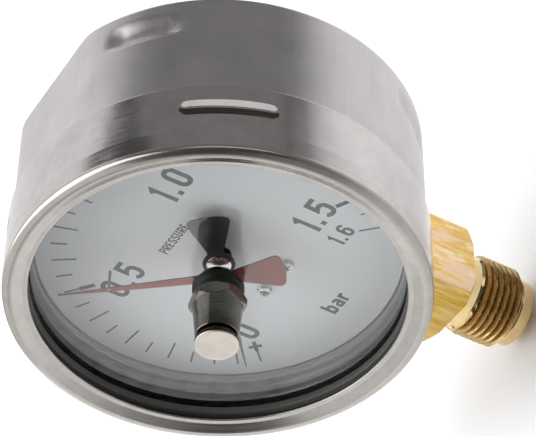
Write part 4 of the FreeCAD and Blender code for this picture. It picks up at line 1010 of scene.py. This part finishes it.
def pointer_outline(length, half_width, hub_radius):
    """Outline of a sheet pointer along +x: pointed blade, hub disc and fan-shaped tail."""
    blade_angle = math.degrees(math.asin(half_width / hub_radius))
    hub_side = hub_radius * math.cos(math.radians(26))
    tail_angle = math.degrees(math.atan2(tail_half(hub_side), -hub_side))
    reach = TAIL_CORNER * TAIL_RADIUS
    corner = (-reach, tail_half(reach))
    side = (-reach + CORNER_CUT, tail_half(reach - CORNER_CUT))
    end_angle = math.degrees(math.atan2(corner[1], corner[0])) + CORNER_SPAN
    upper = [(length, TIP_HALF), (length * 0.9, TIP_HALF + 0.1 * half_width),
             (length * 0.35, half_width * 0.82)]
    upper += arc((0, 0), hub_radius, blade_angle, tail_angle, 14)
    upper += bend(side, corner, on_circle(TAIL_RADIUS, end_angle))
    upper += arc((0, 0), TAIL_RADIUS, end_angle, 180, 6)[1:]
    lower = [(x, -y) for x, y in reversed(upper[:-1])]
    return upper + lower


def build_pointer(node, name, outline, holes, angle, paint, body, slot):
    """A painted sheet pointer with (x, radius, steps) holes, and its cut edges painted dark as shade.
    """
    low, high = face_box(node)
    turn = FACE @ Matrix.Rotation(math.radians(angle), 4, "Z")
    loops = [outline]
    for x, radius, steps in holes:
        loops.append(arc((x, 0), radius, 0, 360, steps)[:-1])
    piece = sheet(name, loops, low.z, high.z, EDGE_BREAK, turn)
    finish_piece(piece, paint, body, slot, node)
    # The cut edges' dark colour is painted shade.
    refinish(piece, EDGE_PAINTED_SHADE, lambda face: abs(face.normal.y) < 0.8)


def build_pointers():
    build_pointer("pointer", "black_pointer",
                  pointer_outline(POINTER_LENGTH, POINTER_HALF, POINTER_HUB),
                  [(0, POINTER_EYE, 32)], POINTER_ANGLE, BLACK_PAINT, "pointer", "black_paint")
    build_pointer("drag_pointer", "red_drag_pointer",
                  pointer_outline(DRAG_LENGTH, DRAG_HALF, DRAG_HUB),
                  [(0, DRAG_EYE, 32), (*DRAG_PIN, 16)], DRAG_ANGLE, RED_PAINT, "drag", "red_paint")
    low, high = face_box("pointer_hub")
    top = high.z
    sheet_top = face_box("pointer")[1].z
    hub = turned("pointer_hub_cap", rounded([
        (0, 2.0, 0), (0.9, 2.0, 0), (0.9, low.z, 0.1), (2.2, low.z, 0.15), (2.2, sheet_top, 0),
        (3.0, sheet_top, 0.1), (3.0, top - 0.12, 0.12), (2.5, top, 0.1), (2.2, top - 0.14, 0.08),
        (1.4, top - 0.12, 0.2), (0, top - 0.04, 0),
    ], closed=False), 96)
    finish_piece(hub, BRIGHT_METAL, "pointer", "bright_metal", "pointer_hub")


# ---- Drive of the drag pointer on the window ----

NUT_STEPS = 360
NUT_HALF = 6.0                # half the width across the hexagon's flats
NUT_RIM = 5.0                 # middle of the cone's rounded front rim
NUT_BORE = 3.03
NUT_FRONT_BEVEL = 0.6         # height of the front bevel
CONE_START = 17.2
BEVEL_ROWS = 10
NUT_TURN = 7.0                # direction of one corner of the hexagon, degrees
KNURL_TEETH = 72
KNURL_DEPTH = 0.4


def build_washer():
    low, high = face_box("window_washer")
    washer = turned("window_washer_rubber", rounded([
        (3.05, low.z, 0), (high.x, low.z, 0.25), (high.x, low.z + 1.5, 0.4),
        (high.x - 0.6, low.z + 1.9, 0.3), (high.x - 0.75, high.z, 0.3), (3.05, high.z, 0),
    ]), 128, closed=True)
    finish_piece(washer, WASHER, "case", "rubber", "window_washer")


def hexagon(radius, height, angle):
    """Flats of the nut's hexagon, up to where the cone starts."""
    if height > CONE_START + 0.01 or radius < NUT_HALF - 0.6:
        return radius, height
    from_flat = (angle - math.radians(NUT_TURN)) % (math.pi / 3) - math.pi / 6
    return min(radius, NUT_HALF / math.cos(from_flat)), height


def build_nut():
    """Conical nut: a bevelled hexagon that runs into a cone, hollow at its front."""
    low, high = face_box("conical_nut")
    half = NUT_HALF
    corner = half / math.cos(math.pi / 6)
    rim, front = NUT_RIM, high.z
    rear_bevel = [(half + (corner - half) * share, low.z + 0.15 + 1.15 * share)
                  for share in stepped(0.0, 1.0, BEVEL_ROWS)]
    front_bevel = [(corner - (corner - half) * share, CONE_START - NUT_FRONT_BEVEL * (1 - share))
                   for share in stepped(0.0, 1.0, BEVEL_ROWS)]
    cone = [(half - 0.04, CONE_START + 0.3), (half - 0.15, 18.4), (half - 0.45, 21.0),
            (rim + 0.16, front - 0.4), (rim + 0.12, front - 0.14), (rim + 0.02, front - 0.02)]
    hollow = [(rim - 0.08, front), (rim - 0.3, front), (rim - 0.42, front - 0.1),
              (rim - 0.5, front - 0.3), (4.2, front - 1.4), (4.2, 18.0), (NUT_BORE, 18.0)]
    nut = turned("conical_nut_body", [
        (NUT_BORE, low.z), (half - 0.15, low.z), *rear_bevel, *front_bevel, *cone, *hollow,
    ], NUT_STEPS, closed=True, shape=hexagon, sharp=16)
    finish_piece(nut, NUT_METAL, "case", "nut_metal", "conical_nut")


def build_knob():
    """Reset knob: knurled disc with a plain bright face on a stepped neck."""
    low, high = face_box("reset_knob")
    radius, front = high.x, high.z

    def knurl(r, height, angle):
        if not front - 1.45 < height < front - 0.3 or r < radius - 0.35:
            return r, height
        wave = abs((angle / TURN * KNURL_TEETH) % 1 - 0.5) * 2
        return r - KNURL_DEPTH * wave, height

    rows = [(radius - 0.02, height) for height in stepped(front - 1.42, front - 0.34, 5)]
    knob = turned("reset_knob_body", [
        (1.5, low.z), (3.7, low.z), (3.85, low.z + 0.15), (3.9, front - 1.7), (4.75, front - 1.62),
        (radius - 0.3, front - 1.55), (radius - 0.24, front - 1.46), *rows,
        (radius, front - 0.28), (radius, front - 0.2), (radius - 0.06, front - 0.07),
        (radius - 0.22, front), (radius - 0.35, front), (radius - 0.9, front), (2.0, front - 0.03),
        (0, front - 0.04), (0, front - 2.0), (1.5, front - 2.0),
    ], KNURL_TEETH * 6, closed=True, shape=knurl, sharp=24)
    finish_piece(knob, KNOB_FACE, "drag", "bright_metal", "reset_knob")
    # The knob's darker edge and neck are a painted dark reflection.
    refinish(knob, KNOB_EDGE_PAINTED_REFLECTION, lambda face: face_height(face) < front - 0.27)


# ---- Connection ----

THREAD_PITCH = 1.814
THREAD_DEPTH = 1.162
THREAD_LOW = 4.0
THREAD_HIGH = 15.6
THREAD_CREST = 10.4775
UNDERCUT = 9.15
COLLAR = 8.75
BORE = 1.5
BORE_TOP = 49.0
PILOT = 3.0                   # radius and length of the centring pilot
SQUARE_LOW = 20.0
SQUARE_CORNER = 15.35         # axis to the square's rounded corners
BEVEL_WIDTH = 3.0             # turned bevel at the square's lower corners
BEVEL_HEIGHT = 1.9
BLOCK_TOP = 54.0
NEAR = 0.01                   # slack when heights are compared

# Parts of the stem inside the case: name, two corners in the row frame, rounding.
STEM_BLOCKS = (
    ("stem_flange", (-16.5, -11, 41.55), (16.5, 11, 45.6), 0.6),
    ("stem_tongue", (-8, -4, 52.0), (8, 6, 79.0), 0.5),
)


def thread_shape(radius, height, angle):
    """Cut the helical thread, and square off everything above it."""
    if THREAD_LOW - NEAR < height < THREAD_HIGH + NEAR and radius > COLLAR:
        phase = height / THREAD_PITCH - angle / TURN
        slope = abs((phase % 1) - 0.5) * 2
        crest_share = smooth_step(slope, -0.25, 1.25) * 1.35 - 0.175
        run_out = smooth_step(height, THREAD_HIGH + 0.1, THREAD_HIGH - 1.2)
        run_in = smooth_step(height, THREAD_LOW - 0.2, THREAD_LOW + 1.1)
        depth = THREAD_DEPTH * (1 - crest_share) + (1 - run_out) * 0.4
        thread = THREAD_CREST - depth
        return min(thread, COLLAR + 0.2 + (THREAD_CREST - COLLAR) * run_in), height
    if height > SQUARE_LOW - NEAR and radius > UNDERCUT:
        wide = max(abs(math.cos(angle)), abs(math.sin(angle)))
        return min(radius, soft_min(SQUARE / wide, SQUARE_CORNER, 0.5)), height
    return radius, height


def stem_outline():
    """Section of the connection from the top of its bore down, round the pilot and up to the block."""
    corner = SQUARE * math.sqrt(2)
    outside = corner + 0.5
    thread = [(THREAD_CREST, height) for height in stepped(THREAD_LOW, THREAD_HIGH, 150)]
    bevel = [(corner - BEVEL_WIDTH + (BEVEL_WIDTH + 0.5) * share, SQUARE_LOW + BEVEL_HEIGHT * share)
             for share in stepped(0, 1, 10)]
    lower = rounded([
        (BORE, -PILOT, 0), (PILOT - 0.3, -PILOT, 0), (PILOT, 0.3 - PILOT, 0), (PILOT, 0.0, 0),
        (COLLAR - 0.5, 0.0, 0.1), (COLLAR, 0.5, 0.2), (COLLAR, 3.2, 0.2), (COLLAR - 0.25, 3.5, 0.1),
        (COLLAR - 0.2, 3.9, 0),
    ], closed=False)
    upper = rounded([
        (THREAD_CREST - 0.9, THREAD_HIGH + 0.15, 0.1), (UNDERCUT, THREAD_HIGH + 0.8, 0.3),
        (UNDERCUT, SQUARE_LOW - 0.35, 0.3), (UNDERCUT + 0.6, SQUARE_LOW, 0.1),
        (corner - 3.4, SQUARE_LOW, 0),
    ], closed=False)
    return [(0, BORE_TOP), (BORE, BORE_TOP), *lower, *thread, *upper, *bevel,
            (outside, 24.0), (outside, BLOCK_TOP), (0, BLOCK_TOP)]


def build_stem():
    stem = turned("stem_connection", stem_outline(), 256, shape=thread_shape, place=ROW, sharp=32)
    finish_piece(stem, BRASS_TURNED, "case", "brass", "stem")

    def on_square(face):
        distance = math.hypot(face.center.x, face.center.y) / MM
        return face.center.z / MM > SQUARE_LOW + NEAR and abs(face.normal.z) < 0.3 and distance > 5

    def on_thread(face):
        distance = math.hypot(face.center.x, face.center.y) / MM
        return THREAD_LOW < face.center.z / MM < THREAD_HIGH and distance > COLLAR

    refinish(stem, BRASS_BLOCK, on_square)
    # The square's darker front faces are a painted dark reflection.
    refinish(stem, BRASS_FRONT_PAINTED_REFLECTION, lambda face: on_square(face) and abs(face.normal.y) > 0.9)
    refinish(stem, BRASS_THREAD, on_thread)
    for name, low, high, rounding in STEM_BLOCKS:
        finish_piece(block(name, low, high, rounding), BRASS_BLOCK, "case", "brass")


# ---- Screws ----

DIAL_SCREW_TURN = 0.5         # radians by which each dial screw's cross is turned on
DIAL_SCREW_HEAD = 1.87
DIAL_SCREW_RISE = 1.0
DIAL_SCREW_SHANK = 1.0
DIAL_SCREW_TIP = -7.0
CASE_SCREW_HEAD = 2.0
CASE_SCREW_RISE = 1.4
CASE_SCREW_SHANK = 1.2


def cross_recess(size, depth, top):
    """Shape function that sinks a cross recess into a turned head."""
    def shape(radius, height, angle):
        if height < top - depth * 1.5:
            return radius, height
        x = abs(radius * math.cos(angle))
        y = abs(radius * math.sin(angle))
        arm = size * 0.22
        inside = max(min(arm - y, size - x), min(arm - x, size - y))
        return radius, height - depth * smooth_step(inside, -0.06, 0.1)
    return shape


def pan_screw(node, number, place, head, top, seat, shank, tip):
    """A pan-head screw along the height axis of place. The first one stands for the CAD node."""
    rise = top - seat
    dome = [(head, seat), (head, seat + rise * 0.35), (head * 0.97, seat + rise * 0.62),
            (head * 0.88, seat + rise * 0.82)]
    crown = [(head * share, top - 0.12 * rise * share * share * 4)
             for share in stepped(0.74, 0.0, 26)]
    outline = [(0, tip), (shank, tip), (shank, seat), *dome, *crown]
    screw = turned(f"{node[:-1]}_{number}", outline, 144, place=place, sharp=28,
                   shape=cross_recess(head * 0.62, rise * 0.8, top))
    stands_for = [node] if number == 1 else []
    finish_piece(screw, SCREW_STEEL, "case", "screw_steel", *stands_for)


def build_screws():
    for number, (low, high) in enumerate(solids("dial_screws"), start=1):
        centre = INTO_FACE @ ((low + high) / 2)
        turn = Matrix.Rotation(DIAL_SCREW_TURN * number, 4, "Z")
        place = FACE @ Matrix.Translation((centre.x, centre.y, 0)) @ turn
        pan_screw("dial_screws", number, place, DIAL_SCREW_HEAD, DIAL_SCREW_RISE, 0.0,
                  DIAL_SCREW_SHANK, DIAL_SCREW_TIP)
    for number, (low, high) in enumerate(solids("case_screws"), start=1):
        centre = (low + high) / 2 / MM
        turn = Matrix.Rotation(math.pi, 4, "X")
        place = ROW @ Matrix.Translation((centre.x, centre.y, 0)) @ turn
        top = -low.z / MM
        pan_screw("case_screws", number, place, CASE_SCREW_HEAD, top, top - CASE_SCREW_RISE,
                  CASE_SCREW_SHANK, -high.z / MM)


# ---- Bourdon tube ----

TUBE_RADIUS = 38.0
TUBE_DEPTH = 22.0
TUBE_HALF_THICKNESS = 2.5
TUBE_HALF_STRAIGHT = 4.0
TUBE_START = -12.0            # angle of the tube's tip end
TUBE_SWEEP = 269.0            # and from there to its root


def tube_section():
    """Flattened section of the tube, as (radius, height) points."""
    front = arc((0, TUBE_HALF_STRAIGHT), TUBE_HALF_THICKNESS, 0, 180, 10)
    rear = arc((0, -TUBE_HALF_STRAIGHT), TUBE_HALF_THICKNESS, 180, 360, 10)
    return [(TUBE_RADIUS + x, y - TUBE_DEPTH) for x, y in front + rear]


def build_tube():
    """Curved tube between its fixed root and its tip."""
    tube = turned("bourdon_tube_shell", tube_section(), 270, closed=True, start=TUBE_START,
                  sweep=TUBE_SWEEP, sharp=50)
    tube.data.materials.append(TUBE_BRONZE)
    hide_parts("bourdon_tube")
    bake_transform(tube)


# ---- CAD nodes that keep their shape ----

CARRIED = (
    (DIAL_WHITE, ("dial",)),
    (BRASS_SHEET, ("dial_posts", "hairspring_collet", "hairspring_stud", "movement_back_plate",
                   "movement_front_plate", "movement_pillars", "sector_gear", "tube_end_piece")),
    (NUT_METAL, ("drag_bushing", "drag_pin")),
    (BRIGHT_METAL, ("drag_rivet", "drag_spindle", "pinion", "sector_arbor", "sector_link_pin")),
    (SPRING_METAL, ("friction_spring", "hairspring", "link")),
    (SCREW_STEEL, ("movement_screws", "plate_screws", "tip_screw")),
)


def dress_nodes():
    for material, names in CARRIED:
        for name in names:
            mesh = NODES[name].data
            mesh.materials.clear()
            mesh.materials.append(material)
            mesh.set_sharp_from_angle(angle=math.radians(35))


# ---- Studio ----

CAMERA_AIM = (0.01677, DIAL_Y, AXIS_Z - 0.00351)
CAMERA_AZIMUTH = 41.93
CAMERA_ELEVATION = 21.36
CAMERA_DISTANCE = 0.5595
CAMERA_ROLL = -67.4
CAMERA_LENS = 161.0
CAMERA_SENSOR = 36.0

# Softboxes: name, azimuth, elevation, distance, (width, height), radiance
LIGHTS = [
    ("wall_left_behind", -140.0, 22.0, 1.3, (2.0, 1.5), 0.9),
    ("wall_left_front", -52.0, 22.0, 1.0, (1.7, 1.2), 1.0),
    ("wall_right_behind", 145.0, 20.0, 1.5, (1.4, 1.4), 0.17),
    ("strip_right", 103.0, 24.0, 0.9, (0.4, 0.7), 0.9),
    ("ceiling", -62.0, 77.0, 1.2, (1.7, 1.7), 2.7),
]
WORLD_LIGHT = 0.08
FLOOR_REACH = 3.0
FLOOR_GAP = 0.0002            # lowest point of the gauge to the floor, metres


def direction(azimuth, elevation):
    """Unit vector from the gauge: azimuth 0 is in front of the dial, 90 to its right."""
    a, e = math.radians(azimuth), math.radians(elevation)
    return Vector((math.sin(a) * math.cos(e), -math.cos(a) * math.cos(e), math.sin(e)))


def looking_at(aim, away, distance):
    """Place of a camera or light that looks at aim from this direction and distance."""
    facing = (-away).to_track_quat("-Z", "Y").to_matrix().to_4x4()
    return Matrix.Translation(Vector(aim) + away * distance) @ facing


def build_camera():
    data = bpy.data.cameras.new("camera")
    data.lens = CAMERA_LENS
    data.sensor_width = CAMERA_SENSOR
    data.clip_start = 0.01
    camera = added_object("camera", data)
    roll = Matrix.Rotation(math.radians(CAMERA_ROLL), 4, "Z")
    back = direction(CAMERA_AZIMUTH, CAMERA_ELEVATION)
    camera.matrix_world = looking_at(CAMERA_AIM, back, CAMERA_DISTANCE) @ roll
    bpy.context.scene.camera = camera


def build_lights():
    for name, azimuth, elevation, distance, (width, height), radiance in LIGHTS:
        data = bpy.data.lights.new(name, "AREA")
        data.shape = "RECTANGLE"
        data.size = width
        data.size_y = height
        data.energy = math.pi * width * height * radiance
        light = added_object(name, data)
        light.visible_camera = False
        light.matrix_world = looking_at((0, DIAL_Y, AXIS_Z), direction(azimuth, elevation), distance)
    world = bpy.data.worlds.new("studio")
    world.use_nodes = True
    background = world.node_tree.nodes["Background"]
    background.inputs["Color"].default_value = (1, 1, 1, 1)
    background.inputs["Strength"].default_value = WORLD_LIGHT
    bpy.context.scene.world = world
    bpy.context.scene.view_settings.view_transform = "Standard"
    bpy.context.scene.view_settings.look = "None"


def build_floor():
    level = CAD_BOX[0].z - FLOOR_GAP
    corners = ((-1, -1), (1, -1), (1, 1), (-1, 1))
    mesh = bpy.data.meshes.new("floor")
    mesh.from_pydata([(FLOOR_REACH * x, FLOOR_REACH * y, level) for x, y in corners], [],
                     [(0, 1, 2, 3)])
    mesh.materials.append(backdrop_paper())
    floor = added_object("floor", mesh)


build_camera()
build_case()
build_ring()
build_window()
print_scale()
print_numbers()
build_pointers()
build_washer()
build_nut()
build_knob()
build_stem()
build_screws()
build_tube()
dress_nodes()
build_lights()
build_floor()
